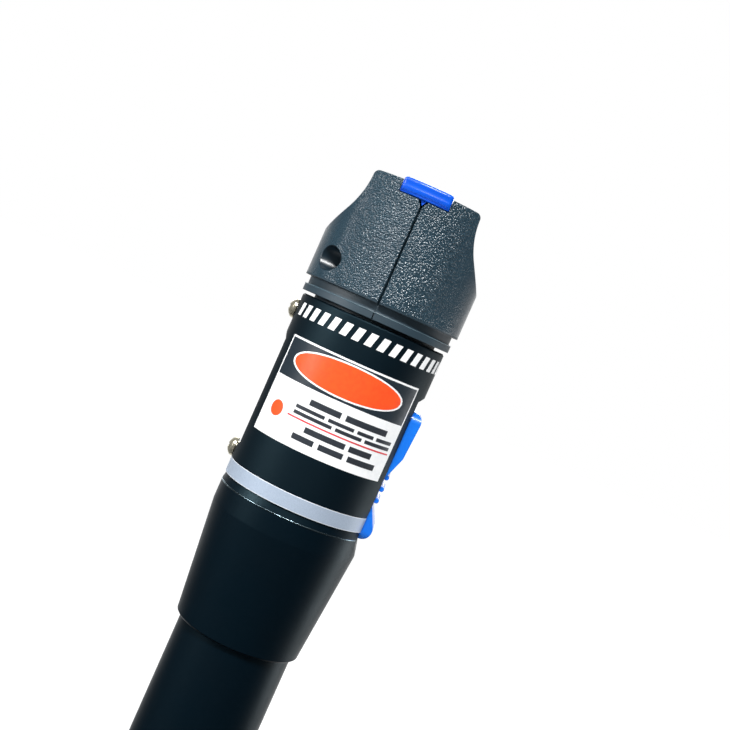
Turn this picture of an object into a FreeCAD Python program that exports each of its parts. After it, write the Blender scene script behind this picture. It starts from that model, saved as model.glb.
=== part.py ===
"""Pen-type visual fault locator: a parametric FreeCAD model, in millimetres.

The pen stands on its tail. +Z runs up its axis from the tail's flat face to the ferrule
socket in the head, -Y is the front with the head's seam, +X carries the slide button and
-X the two side screws. Every size is a cell of the spreadsheet "Sizes"; the heights of
the pieces are stacked from those cells, starting at the tail.
"""
import FreeCAD, Part
import math
import os
import Sketcher

Vector = FreeCAD.Vector
doc = FreeCAD.newDocument("visual_fault_locator")

# ---------------------------------------------------------------- driving sizes, mm
SIZES = [
    # fits shared by several pieces
    ("fit_gap", 0.05),              # round a piece that is fitted and stays put
    ("run_gap", 0.3),               # round a piece that moves
    ("seam_gap", 0.03),             # from the middle plane to each head shell
    # batteries and the tube that holds them
    ("plug_height", 4.9),           # tail face to the spring's seat
    ("plug_rim_height", 3.0),
    ("spring_height", 3.5),
    ("spring_inset", 1.65),         # cell's side to the spring's wide end
    ("spring_narrow_radius", 3.2),
    ("spring_wire_radius", 0.4),
    ("spring_turns", 3.0),
    ("cell_radius", 7.25),
    ("cell_length", 50.5),
    ("cell_nub_radius", 2.75),
    ("cell_nub_height", 1.0),
    ("cell_crimp_depth", 0.35),
    ("cell_crimp_height", 0.6),
    ("contact_gap", 0.1),
    ("cell_gap", 0.45),             # cell to the tube's bore
    ("tube_wall", 1.75),
    ("tube_tail_chamfer", 0.6),
    ("thread_relief_depth", 0.4),
    ("thread_relief_height", 1.2),
    ("seal_groove_depth", 0.75),
    ("seal_groove_height", 1.3),
    ("seal_groove_rise", 1.6),      # sleeve's lower edge to the groove's middle
    ("seal_section_radius", 0.39),
    # battery contacts
    ("contact_height", 1.4),
    ("contact_radius", 3.4),
    ("rivet_radius", 1.1),
    ("rivet_stand", 0.4),           # rivet's end above the carrier
    ("return_ring_height", 0.2),
    ("return_ring_width", 1.3),
    ("carrier_height", 2.9),
    ("board_slot_depth", 1.5),
    # tapering sleeve
    ("socket_depth", 11.0),         # sleeve's lower edge to its inner shoulder
    ("sleeve_length", 23.3),
    ("sleeve_foot_wall", 0.85),     # thread's bore to the sleeve's lower rim
    ("sleeve_taper_height", 18.6),
    ("sleeve_collar_height", 1.25),
    ("sleeve_collar_step", 0.3),
    ("sleeve_foot_bevel", 0.3),
    # band and barrel
    ("band_height", 2.4),
    ("shoulder_ledge", 0.85),       # thread's bore to the barrel's bore
    ("barrel_wall", 1.75),
    ("barrel_length", 28.05),
    ("barrel_chamfer", 0.25),
    ("flat_depth", 0.7),
    ("left_flat_drop", 6.3),        # barrel's top edge to the flat's upper end
    ("left_flat_length", 20.2),
    ("left_ramp_height", 1.3),
    ("right_flat_above", 2.5),      # button's upper end to the flat's
    ("right_flat_below", 3.2),
    ("right_upper_ramp", 0.8),
    ("right_lower_ramp", 2.5),
    # slide button and switch
    ("slide_travel", 1.6),
    ("slider_overhang", 1.25),      # how far the button hangs below the sleeve's top
    ("slider_length", 21.7),
    ("slider_width", 7.0),
    ("slider_corner_radius", 1.6),
    ("slot_depth", 1.2),            # barrel's surface to the floor of the button's slot
    ("slot_floor_gap", 0.1),
    ("valley_height", 0.45),        # thickness of the button between its humps
    ("upper_hump_height", 2.3),
    ("upper_hump_length", 7.4),
    ("upper_hump_fall", 0.45),      # how much lower its face is at its inner end
    ("upper_hump_taper", 3.9),
    ("upper_hump_round", 1.5),
    ("lower_hump_height", 2.05),
    ("lower_hump_length", 2.3),
    ("lower_hump_taper", 3.4),
    ("lower_hump_round", 1.9),
    ("ridge_count", 3.0),
    ("ridge_pitch", 1.97),
    ("ridge_radius", 0.42),
    ("ridge_rise", 0.22),           # valley surface to the ridge's centre line
    ("ridge_drop", 11.1),           # button's upper end to the first ridge
    ("slider_edge_round", 0.45),
    ("stem_width", 4.0),
    ("stem_height", 4.6),
    ("stem_reach", 1.45),           # button's underside to the stem's end
    ("stem_drop", 7.9),             # button's upper end to the stem
    ("knob_width", 2.0),
    ("knob_height", 3.0),
    ("knob_bite", 1.2),             # how far the knob reaches into the switch
    ("knob_wall", 0.25),            # stem's end wall over the knob
    ("switch_width", 6.8),
    ("switch_length", 10.0),
    ("switch_height", 3.0),
    ("switch_gap", 0.25),           # between the switch and the button's stem
    ("switch_drop", 2.6),           # switch's upper end above the stem's
    # circuit board
    ("board_thickness", 1.0),
    ("board_side_gap", 0.227),      # board's edge to the chassis
    ("board_foot_width", 7.8),
    ("board_foot_height", 1.8),
    ("board_top_gap", 0.5),
    ("chip_width", 5.0),
    ("chip_length", 4.0),
    ("chip_height", 1.6),
    ("chip_rise", 4.5),             # top of the battery contacts' carrier to the chip
    # inner chassis
    ("chassis_wall", 1.3),
    ("bulkhead_rise", 14.1),        # chassis foot to the bulkhead
    ("bulkhead_height", 3.0),
    ("window_width", 8.0),
    ("window_rise", 6.1),
    ("window_length", 22.0),
    ("boss_radius", 2.3),
    ("boss_reach", 2.6),
    # laser module
    ("module_radius", 5.0),
    ("module_length", 30.0),
    ("module_mouth_depth", 8.0),
    ("lens_radius", 2.55),
    ("lens_rim_height", 1.2),
    ("lens_bulge", 0.55),
    ("lens_seat_depth", 7.5),       # below the floor of the module's mouth
    ("retainer_height", 2.0),
    ("retainer_hole_radius", 1.6),
    ("beam_chamber_radius", 2.1),
    ("diode_flange_radius", 2.8),
    ("diode_flange_height", 1.2),
    ("diode_seat_depth", 3.2),
    ("diode_can_radius", 1.8),
    ("diode_can_height", 2.8),
    ("diode_lead_radius", 0.22),
    ("diode_lead_circle", 1.27),
    ("diode_lead_length", 5.0),
    # receptacle
    ("well_radius", 5.6),
    ("well_depth", 12.0),
    ("nose_radius", 3.1),
    ("nose_height", 9.0),
    ("receptacle_flange_radius", 6.2),
    ("receptacle_flange_height", 3.0),
    ("receptacle_spigot_radius", 3.4),
    ("sleeve_bore_radius", 1.25),   # takes a 2.5 mm ferrule
    ("ferrule_sleeve_wall", 0.35),
    ("ferrule_sleeve_length", 10.2),
    ("nose_lip_height", 0.8),
    ("nose_lip_radius", 1.32),
    ("beam_hole_radius", 0.9),
    ("nose_chamfer", 0.3),
    # head
    ("head_gap", 0.45),             # barrel's top edge to the head's flange
    ("flange_height", 1.2),
    ("flange_proud", 0.4),          # beyond the barrel's surface
    ("neck_height", 1.3),
    ("head_proud", 0.9),
    ("head_height", 18.3),
    ("spigot_length", 8.7),
    ("flank_rise", 7.3),            # head's lower edge to the foot of the flanks
    ("crown_half_width", 8.65),
    ("crown_drop", 0.5),            # head's top to where the flanks turn upright
    ("flank_arc_radius", 12.0),
    ("crown_round", 0.8),
    ("notch_half_width", 4.0),
    ("notch_depth", 1.95),
    ("seam_vee_half_width", 0.75),
    ("seam_vee_depth", 1.1),
    ("seam_groove_half_width", 0.18),
    ("seam_groove_depth", 0.8),
    ("head_screw_offset", 8.4),     # pen's axis to the head screws, front and back
    ("head_screw_rise", 3.4),
    ("counterbore_radius", 1.95),
    ("counterbore_floor", 4.5),     # middle plane to the seat of the screw's head
    ("screw_radius", 0.95),
    ("screw_clearance", 0.2),
    ("screw_pilot_gap", 0.05),
    ("pilot_end_gap", 0.3),         # screw's tip to the end of its pilot hole
    ("screw_head_radius", 1.6),
    ("screw_head_height", 1.3),
    ("screw_head_rim", 0.45),
    ("screw_recess_width", 0.45),
    ("screw_recess_span", 1.9),
    ("screw_recess_depth", 0.6),
    ("head_screw_length", 9.5),
    ("side_screw_length", 4.6),
    ("side_screw_stand", 0.05),
    ("upper_screw_drop", 2.8),
    ("lower_screw_rise", 1.3),      # barrel's lower edge to the lower screw
    # dust cap
    ("cap_bar_half_width", 3.65),
    ("cap_bar_height", 2.45),
    ("cap_bar_proud", 0.3),
    ("cap_floor_gap", 0.1),
    ("cap_disc_height", 2.0),
    ("cap_side_gap", 0.25),
    ("cap_skirt_wall", 1.2),
    ("cap_skirt_length", 5.0),
    ("cap_edge_round", 0.5),
    ("cap_rib_half_width", 0.5),
    ("cap_rib_depth", 0.75),
]

sheet = doc.addObject("Spreadsheet::Sheet", "Sizes")
for row, (alias, size) in enumerate(SIZES, start=1):
    sheet.set(f"A{row}", alias)
    sheet.set(f"B{row}", str(size))
    sheet.setAlias(f"B{row}", alias)
doc.recompute()


def cell(alias):
    """The expression that reads one size."""
    return f"Sizes.{alias}"


def value(expression):
    """An expression's present number."""
    return float(sheet.evalExpression(str(expression)))


# ---------------------------------------------------------------- heights along the pen
SPRING_SEAT = cell("plug_height")
STACK_BOTTOM = f"({SPRING_SEAT} + Sizes.spring_height + Sizes.contact_gap)"
STACK_TOP = f"({STACK_BOTTOM} + 2 * Sizes.cell_length)"
CONTACT_FACE = f"({STACK_TOP} + Sizes.contact_gap)"
SHOULDER = f"({CONTACT_FACE} + Sizes.contact_height)"
SLEEVE_BOTTOM = f"({SHOULDER} - Sizes.socket_depth)"
SLEEVE_TOP = f"({SLEEVE_BOTTOM} + Sizes.sleeve_length)"
BAND_TOP = f"({SLEEVE_TOP} + Sizes.band_height)"
BARREL_TOP = f"({BAND_TOP} + Sizes.barrel_length)"
FLANGE_BOTTOM = f"({BARREL_TOP} + Sizes.head_gap)"
FLANGE_TOP = f"({FLANGE_BOTTOM} + Sizes.flange_height)"
HEAD_BOTTOM = f"({FLANGE_TOP} + Sizes.neck_height)"
HEAD_TOP = f"({HEAD_BOTTOM} + Sizes.head_height)"
SPIGOT_BOTTOM = f"({FLANGE_BOTTOM} - Sizes.spigot_length)"
WELL_FLOOR = f"({HEAD_TOP} - Sizes.well_depth)"
FLANGE_SEAT = f"({WELL_FLOOR} - Sizes.receptacle_flange_height)"
NOTCH_FLOOR = f"({HEAD_TOP} - Sizes.notch_depth)"
MODULE_BOTTOM = f"({FLANGE_SEAT} - Sizes.module_length)"
MOUTH_FLOOR = f"({FLANGE_SEAT} - Sizes.module_mouth_depth)"
LENS_SEAT = f"({MOUTH_FLOOR} - Sizes.lens_seat_depth)"
DIODE_SEAT = f"({MODULE_BOTTOM} + Sizes.diode_seat_depth)"
CARRIER_TOP = f"({SHOULDER} + Sizes.carrier_height)"
SLIDER_BOTTOM = f"({SLEEVE_TOP} - Sizes.slider_overhang)"
SLIDER_TOP = f"({SLIDER_BOTTOM} + Sizes.slider_length)"
STEM_TOP = f"({SLIDER_TOP} - Sizes.stem_drop)"
STEM_BOTTOM = f"({STEM_TOP} - Sizes.stem_height)"
STEM_MIDDLE = f"({STEM_TOP} - Sizes.stem_height / 2)"
HEAD_SCREW_HEIGHT = f"({HEAD_BOTTOM} + Sizes.head_screw_rise)"
UPPER_SCREW_HEIGHT = f"({BARREL_TOP} - Sizes.upper_screw_drop)"
LOWER_SCREW_HEIGHT = f"({BAND_TOP} + Sizes.lower_screw_rise)"

# distances out from the pen's axis, each piece round the one inside it
SPRING_WIDE = "(Sizes.cell_radius - Sizes.spring_inset)"
TUBE_BORE = "(Sizes.cell_radius + Sizes.cell_gap)"
TUBE_RADIUS = f"({TUBE_BORE} + Sizes.tube_wall)"
THREAD_BORE = f"({TUBE_RADIUS} + Sizes.fit_gap)"
SLEEVE_FOOT = f"({THREAD_BORE} + Sizes.sleeve_foot_wall)"
BARREL_BORE = f"({THREAD_BORE} + Sizes.shoulder_ledge)"
BARREL_RADIUS = f"({BARREL_BORE} + Sizes.barrel_wall)"
FLANGE_RADIUS = f"({BARREL_RADIUS} + Sizes.flange_proud)"
HEAD_RADIUS = f"({BARREL_RADIUS} + Sizes.head_proud)"
FITTED_RADIUS = f"({BARREL_BORE} - Sizes.fit_gap)"
CHASSIS_BORE = f"({FITTED_RADIUS} - Sizes.chassis_wall)"
FLAT_FACE = f"({BARREL_RADIUS} - Sizes.flat_depth)"
SLOT_FLOOR = f"({BARREL_RADIUS} - Sizes.slot_depth)"
SLIDER_BACK = f"({SLOT_FLOOR} + Sizes.slot_floor_gap)"
STEM_END = f"({SLIDER_BACK} - Sizes.stem_reach)"
SWITCH_FACE = f"({STEM_END} - Sizes.switch_gap)"
BOARD_FACE = f"({SWITCH_FACE} - Sizes.switch_height)"
BOARD_BACK = f"({BOARD_FACE} - Sizes.board_thickness)"
BOARD_HALF_WIDTH = f"(sqrt({CHASSIS_BORE}^2 - {BOARD_FACE}^2) - Sizes.board_side_gap)"
PILOT_RADIUS = "(Sizes.screw_radius + Sizes.screw_pilot_gap)"
CLEARANCE_RADIUS = "(Sizes.screw_radius + Sizes.screw_clearance)"
SIDE_PILOT_START = f"({BARREL_RADIUS} - Sizes.side_screw_length - Sizes.pilot_end_gap)"

PAST = 1                                # how far a cut's outline runs past the surface
OCTAGON_CORNER = 2 - math.sqrt(2)       # corner cut of an octagon, over half its width


# ---------------------------------------------------------------- modelling helpers
def new_body(label):
    body = doc.addObject("PartDesign::Body", label)
    body.Label = label
    return body


def sketch_on(body, role, name, lift=None):
    """A sketch on one of the body's origin planes, lifted along the plane's normal."""
    sketch = body.newObject("Sketcher::SketchObject", name)
    plane = next(f for f in body.Origin.OriginFeatures if f.Role == role)
    sketch.AttachmentSupport = (plane, "")
    sketch.MapMode = "FlatFace"
    if lift is not None:
        sketch.setExpression("AttachmentOffset.Base.z", str(lift))
    return sketch


def bind(sketch, kind, *where, to):
    """A dimension of the sketch that follows an expression."""
    index = sketch.addConstraint(Sketcher.Constraint(kind, *where, value(to)))
    sketch.setExpression(f"Constraints[{index}]", str(to))


def arc_between(start, end, radius):
    """The short arc from start to end; a positive radius turns left, a negative right."""
    chord = end - start
    across = Vector(-chord.y, chord.x, 0).normalize()
    rise = math.sqrt(radius * radius - chord.Length ** 2 / 4)
    centre = (start + end) / 2 + across * math.copysign(rise, radius)
    first, last = (start, end) if radius > 0 else (end, start)
    angles = [math.atan2(p.y - centre.y, p.x - centre.x) for p in (first, last)]
    circle = Part.Circle(centre, Vector(0, 0, 1), abs(radius))
    return Part.ArcOfCircle(circle, angles[0], angles[1])


def outline(sketch, corners):
    """A closed outline. A corner is (across, up) or (across, up, radius): with a radius
    the edge that leaves the corner is an arc, turning left if it starts with '+' and
    right if it starts with '-'. Every corner and radius follows its expression.
    """
    places = [Vector(value(c[0]), value(c[1]), 0) for c in corners]
    first = sketch.GeometryCount
    ends = []
    for i, corner in enumerate(corners):
        start, end = places[i], places[(i + 1) % len(corners)]
        if len(corner) == 2:
            sketch.addGeometry(Part.LineSegment(start, end))
            ends.append((1, 2))
            continue
        radius = value(corner[2][1:])
        turn = 1 if corner[2][0] == "+" else -1
        index = sketch.addGeometry(arc_between(start, end, turn * radius))
        bind(sketch, "Radius", index, to=corner[2][1:])
        ends.append((1, 2) if turn > 0 else (2, 1))
    for i in range(len(corners)):
        after = (i + 1) % len(corners)
        joint = (first + i, ends[i][1], first + after, ends[after][0])
        sketch.addConstraint(Sketcher.Constraint("Coincident", *joint))
    for i, corner in enumerate(corners):
        bind(sketch, "DistanceX", -1, 1, first + i, ends[i][0], to=corner[0])
        bind(sketch, "DistanceY", -1, 1, first + i, ends[i][0], to=corner[1])


def rectangle(sketch, left, bottom, right, top):
    outline(sketch, [(left, bottom), (right, bottom), (right, top), (left, top)])


def rounded_rectangle(sketch, left, bottom, right, top, radius):
    """A rectangle with rounded corners, drawn anticlockwise from its lower left."""
    turn = f"+{radius}"
    outline(sketch, [
        (f"{left} + {radius}", bottom),
        (f"{right} - {radius}", bottom, turn),
        (right, f"{bottom} + {radius}"),
        (right, f"{top} - {radius}", turn),
        (f"{right} - {radius}", top),
        (f"{left} + {radius}", top, turn),
        (left, f"{top} - {radius}"),
        (left, f"{bottom} + {radius}", turn),
    ])


def disc(sketch, across, up, radius):
    centre = Vector(value(across), value(up), 0)
    index = sketch.addGeometry(Part.Circle(centre, Vector(0, 0, 1), value(radius)))
    bind(sketch, "Radius", index, to=radius)
    bind(sketch, "DistanceX", -1, 1, index, 3, to=across)
    bind(sketch, "DistanceY", -1, 1, index, 3, to=up)


def revolve(body, sketch, name, angle=360.0):
    feature = body.newObject("PartDesign::Revolution", name)
    feature.Profile = sketch
    feature.ReferenceAxis = (sketch, ["V_Axis"])
    feature.Angle = angle
    doc.recompute()
    return feature


def pad(body, sketch, name, length, both_ways=False):
    feature = body.newObject("PartDesign::Pad", name)
    feature.Profile = sketch
    feature.Midplane = both_ways
    feature.setExpression("Length", str(length))
    doc.recompute()
    return feature


def pocket(body, sketch, name, length=None, both_ways=False, along_normal=False):
    """Cuts against the sketch plane's normal unless told otherwise, and must cut."""
    before = body.Shape.Volume
    feature = body.newObject("PartDesign::Pocket", name)
    feature.Profile = sketch
    feature.Midplane = both_ways
    feature.Reversed = along_normal
    if length is None:
        feature.Type = "ThroughAll"
    else:
        feature.setExpression("Length", str(length))
    doc.recompute()
    if not body.Shape.Volume < before:
        raise RuntimeError(f"{body.Label}: {name} cuts nothing")
    return feature


def round_edges(body, name, radius, wanted):
    """Rounds the edges of the body that wanted(edge) picks."""
    tip = body.Tip
    names = [f"Edge{i}" for i, edge in enumerate(tip.Shape.Edges, start=1) if wanted(edge)]
    if not names:
        raise RuntimeError(f"{body.Label}: no edge for {name}")
    feature = body.newObject("PartDesign::Fillet", name)
    feature.Base = (tip, names)
    feature.setExpression("Radius", str(radius))
    doc.recompute()
    return feature


def turned(label, corners):
    """A piece turned about the pen's axis from (radius, height) corners."""
    body = new_body(label)
    sketch = sketch_on(body, "XZ_Plane", label + "_section")
    outline(sketch, corners)
    revolve(body, sketch, label + "_turned")
    return body


def ends_of(edge):
    return [vertex.Point for vertex in edge.Vertexes]


def near(a, b, slack=1e-4):
    return abs(a - b) < slack


# ---------------------------------------------------------------- battery tube
def make_tail_plug():
    """Closes the tube's lower end; its flat face is what the pen stands on."""
    rim, seat = cell("plug_rim_height"), SPRING_SEAT
    spigot = f"({TUBE_BORE} - Sizes.fit_gap)"
    well = f"({SPRING_WIDE} + 2 * Sizes.spring_wire_radius)"
    chamfer = cell("tube_tail_chamfer")
    return turned("tail_plug", [
        ("0", "0"),
        (f"{TUBE_RADIUS} - {chamfer}", "0"),
        (TUBE_RADIUS, chamfer),
        (TUBE_RADIUS, rim),
        (spigot, rim),
        (spigot, f"{seat} + Sizes.spring_height / 2"),
        (well, f"{seat} + Sizes.spring_height / 2"),
        (well, seat),
        ("0", seat),
    ])


def make_tail_spring():
    """A conical coil, wide end down, between the plug and the rear cell. Each half-turn
    of its eight-sided wire is tilted by its rise, so the half-turns join in line."""
    wire = cell("spring_wire_radius")
    halves = round(2 * value("Sizes.spring_turns"))

    def radius_after(half_turns):
        return (f"({SPRING_WIDE} - ({SPRING_WIDE} - Sizes.spring_narrow_radius)"
                f" * {half_turns} / {halves})")

    def height_after(half_turns):
        return (f"({SPRING_SEAT} + {wire} + (Sizes.spring_height - 2 * {wire})"
                f" * {half_turns} / {halves})")

    coil = []
    for k in range(halves):
        side = 1 if k % 2 == 0 else -1
        first, last = radius_after(k), radius_after(k + 1)
        low, high = height_after(k), height_after(k + 1)
        slope = f"atan(({high} - {low}) / ({first} + {last}))"
        section = doc.addObject("Part::RegularPolygon", f"wire_section_{k + 1}")
        section.Polygon = 8
        section.setExpression("Circumradius", wire)
        section.Placement.Rotation = FreeCAD.Rotation(Vector(1, 0, 0), 90)
        section.setExpression("Placement.Base.x", f"({first} + {last}) / 2 / cos({slope})")
        half_turn = doc.addObject("Part::Revolution", f"half_turn_{k + 1}")
        half_turn.Source = section
        half_turn.Axis = Vector(0, 0, 1)
        half_turn.Angle = 180.0
        half_turn.Solid = True
        half_turn.Placement.Rotation = FreeCAD.Rotation(0 if side > 0 else 180, 0, 0)
        half_turn.setExpression("Placement.Rotation.Pitch", slope)
        half_turn.setExpression("Placement.Base.x", f"{side} * ({first} - {last}) / 2")
        half_turn.setExpression("Placement.Base.z", f"({low} + {high}) / 2")
        coil.append(half_turn)
    spring = doc.addObject("Part::MultiFuse", "tail_spring")
    spring.Shapes = coil
    spring.Refine = True
    spring.Label = "tail_spring"
    return spring


def make_cell(label, bottom):
    """One AA cell, its nub towards the head."""
    crimped = "(Sizes.cell_radius - Sizes.cell_crimp_depth)"
    top = f"({bottom} + Sizes.cell_length - Sizes.cell_nub_height)"
    return turned(label, [
        ("0", bottom),
        (crimped, bottom),
        ("Sizes.cell_radius", f"{bottom} + Sizes.cell_crimp_height"),
        ("Sizes.cell_radius", f"{top} - Sizes.cell_crimp_height"),
        (crimped, top),
        ("Sizes.cell_nub_radius", top),
        ("Sizes.cell_nub_radius", f"{top} + Sizes.cell_nub_height"),
        ("0", f"{top} + Sizes.cell_nub_height"),
    ])


def make_battery_tube():
    """The slim tube that screws into the sleeve; its thread is left as a plain land
    between two reliefs, with the seal's groove below it."""
    radius, bore = TUBE_RADIUS, TUBE_BORE
    top = f"({SHOULDER} - Sizes.return_ring_height - Sizes.run_gap)"
    groove = f"({SLEEVE_BOTTOM} + Sizes.seal_groove_rise)"
    half_groove = "Sizes.seal_groove_height / 2"
    floor = f"{radius} - Sizes.seal_groove_depth"
    relief = f"{radius} - Sizes.thread_relief_depth"
    relief_bottom = f"({groove} + {half_groove} + Sizes.thread_relief_height)"
    return turned("battery_tube", [
        (bore, cell("plug_rim_height")),
        (radius, cell("plug_rim_height")),
        (radius, f"{groove} - {half_groove}"),
        (floor, f"{groove} - {half_groove}"),
        (floor, f"{groove} + {half_groove}"),
        (radius, f"{groove} + {half_groove}"),
        (radius, relief_bottom),
        (relief, relief_bottom),
        (relief, f"{relief_bottom} + Sizes.thread_relief_height"),
        (radius, f"{relief_bottom} + Sizes.thread_relief_height"),
        (radius, f"{top} - Sizes.thread_relief_depth"),
        (relief, top),
        (bore, top),
    ])


def make_tube_seal():
    """The rubber ring in the tube's groove, eight-sided in section."""
    section = cell("seal_section_radius")
    middle = f"({SLEEVE_BOTTOM} + Sizes.seal_groove_rise)"
    inner = f"({TUBE_RADIUS} - Sizes.seal_groove_depth)"
    outer = f"({inner} + 2 * {section})"
    corner = f"({section} * {OCTAGON_CORNER})"
    return turned("tube_seal", [
        (f"{inner} + {corner}", f"{middle} - {section}"),
        (f"{outer} - {corner}", f"{middle} - {section}"),
        (outer, f"{middle} - {section} + {corner}"),
        (outer, f"{middle} + {section} - {corner}"),
        (f"{outer} - {corner}", f"{middle} + {section}"),
        (f"{inner} + {corner}", f"{middle} + {section}"),
        (inner, f"{middle} + {section} - {corner}"),
        (inner, f"{middle} - {section} + {corner}"),
    ])


# ---------------------------------------------------------------- outer housing
def cut_side_flat(body, side, top, bottom, upper_ramp, lower_ramp):
    """Mills a flat into one flank, with a ramp at each end. side is 1 for +X."""
    name = f"{body.Label}_{'right' if side > 0 else 'left'}_flat"
    face = f"{side} * {FLAT_FACE}"
    skin = f"{side} * {BARREL_RADIUS}"
    clear = f"{side} * ({BARREL_RADIUS} + {PAST})"
    sketch = sketch_on(body, "XZ_Plane", name)
    outline(sketch, [
        (clear, top),
        (skin, top),
        (face, f"{top} - {upper_ramp}"),
        (face, f"{bottom} + {lower_ramp}"),
        (skin, bottom),
        (clear, bottom),
    ])
    pocket(body, sketch, name + "_cut", f"3 * {BARREL_RADIUS}", both_ways=True)


def cut_slider_recess(body):
    """The flat on the +X flank and the slot in it that the slide button runs in."""
    cut_side_flat(body, 1, f"({SLIDER_TOP} + Sizes.right_flat_above)",
                  f"({SLIDER_BOTTOM} - Sizes.right_flat_below)",
                  cell("right_upper_ramp"), cell("right_lower_ramp"))
    sketch = sketch_on(body, "YZ_Plane", f"{body.Label}_slot", lift=SLOT_FLOOR)
    half = "(Sizes.slider_width / 2 + Sizes.run_gap)"
    rounded_rectangle(sketch, f"-{half}", f"({SLIDER_BOTTOM} - Sizes.run_gap)", half,
                      f"({SLIDER_TOP} + Sizes.slide_travel + Sizes.run_gap)",
                      "(Sizes.slider_corner_radius + Sizes.run_gap)")
    pocket(body, sketch, f"{body.Label}_slot_cut", along_normal=True)


def cut_side_hole(body, name, height, radius, start, length):
    """A round hole along -X, from start outwards."""
    sketch = sketch_on(body, "YZ_Plane", name, lift=f"-{start}")
    disc(sketch, "0", height, radius)
    pocket(body, sketch, name + "_cut", length)


def make_taper_sleeve():
    """The tapering sleeve: the battery tube screws into its lower bore."""
    step, bevel = cell("sleeve_collar_step"), cell("sleeve_foot_bevel")
    body = turned("taper_sleeve", [
        (THREAD_BORE, SLEEVE_BOTTOM),
        (f"{SLEEVE_FOOT} - {bevel}", SLEEVE_BOTTOM),
        (SLEEVE_FOOT, f"{SLEEVE_BOTTOM} + {bevel}"),
        (BARREL_RADIUS, f"{SLEEVE_BOTTOM} + Sizes.sleeve_taper_height"),
        (BARREL_RADIUS, f"{SLEEVE_TOP} - Sizes.sleeve_collar_height"),
        (f"{BARREL_RADIUS} - {step}", SLEEVE_TOP),
        (BARREL_BORE, SLEEVE_TOP),
        (BARREL_BORE, SHOULDER),
        (THREAD_BORE, SHOULDER),
    ])
    cut_slider_recess(body)
    return body


def make_band_ring():
    body = turned("band_ring", [
        (BARREL_BORE, SLEEVE_TOP),
        (BARREL_RADIUS, SLEEVE_TOP),
        (BARREL_RADIUS, BAND_TOP),
        (BARREL_BORE, BAND_TOP),
    ])
    cut_slider_recess(body)
    return body


def make_barrel():
    """The straight barrel with its two flats, the button's slot and the stem's window."""
    chamfer = cell("barrel_chamfer")
    body = turned("barrel", [
        (BARREL_BORE, BAND_TOP),
        (BARREL_RADIUS, BAND_TOP),
        (BARREL_RADIUS, f"{BARREL_TOP} - {chamfer}"),
        (f"{BARREL_RADIUS} - {chamfer}", BARREL_TOP),
        (BARREL_BORE, BARREL_TOP),
    ])
    cut_slider_recess(body)
    window = sketch_on(body, "YZ_Plane", "stem_window", lift=f"{BARREL_BORE} / 2")
    half = "(Sizes.stem_width / 2 + Sizes.run_gap)"
    rectangle(window, f"-{half}", f"{STEM_BOTTOM} - Sizes.run_gap", half,
              f"{STEM_TOP} + Sizes.slide_travel + Sizes.run_gap")
    pocket(body, window, "stem_window_cut", along_normal=True)
    for name, height in (("upper_hole", UPPER_SCREW_HEIGHT), ("lower_hole", LOWER_SCREW_HEIGHT)):
        cut_side_hole(body, name, height, CLEARANCE_RADIUS, f"{BARREL_BORE} / 2",
                      BARREL_RADIUS)
    left_top = f"({BARREL_TOP} - Sizes.left_flat_drop)"
    cut_side_flat(body, -1, left_top, f"({left_top} - Sizes.left_flat_length)",
                  cell("left_ramp_height"), cell("left_ramp_height"))
    return body


def make_screw(label, length, height, start, offset="0"):
    """A pan head screw along X. Its head points to -X and sits start from the middle
    plane, at the given height and distance in front of the axis."""
    body = new_body(label)
    section = sketch_on(body, "XZ_Plane", label + "_section")
    shank, rim = cell("screw_radius"), cell("screw_head_rim")
    dome = "((Sizes.screw_head_radius^2 + (Sizes.screw_head_height - Sizes.screw_head_rim)^2)" \
           " / (2 * (Sizes.screw_head_height - Sizes.screw_head_rim)))"
    outline(section, [
        ("0", f"-{length}"),
        (f"{shank} / 2", f"-{length}"),
        (shank, f"-{length} + {shank} / 2"),
        (shank, "0"),
        ("Sizes.screw_head_radius", "0"),
        ("Sizes.screw_head_radius", rim, f"+{dome}"),
        ("0", "Sizes.screw_head_height"),
    ])
    revolve(body, section, label + "_turned")
    recess_floor = "Sizes.screw_head_height - Sizes.screw_recess_depth"
    cross = sketch_on(body, "XY_Plane", label + "_recess", lift=recess_floor)
    thin, long = "Sizes.screw_recess_width / 2", "Sizes.screw_recess_span / 2"
    outline(cross, [
        (thin, f"-{thin}"), (long, f"-{thin}"), (long, thin), (thin, thin),
        (thin, long), (f"-{thin}", long), (f"-{thin}", thin), (f"-{long}", thin),
        (f"-{long}", f"-{thin}"), (f"-{thin}", f"-{thin}"), (f"-{thin}", f"-{long}"),
        (thin, f"-{long}"),
    ])
    pocket(body, cross, label + "_recess_cut", along_normal=True)
    body.Placement.Rotation = FreeCAD.Rotation(Vector(0, 1, 0), -90)
    body.setExpression("Placement.Base.x", f"-{start}")
    body.setExpression("Placement.Base.y", f"-{offset}")
    body.setExpression("Placement.Base.z", height)
    return body


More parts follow.
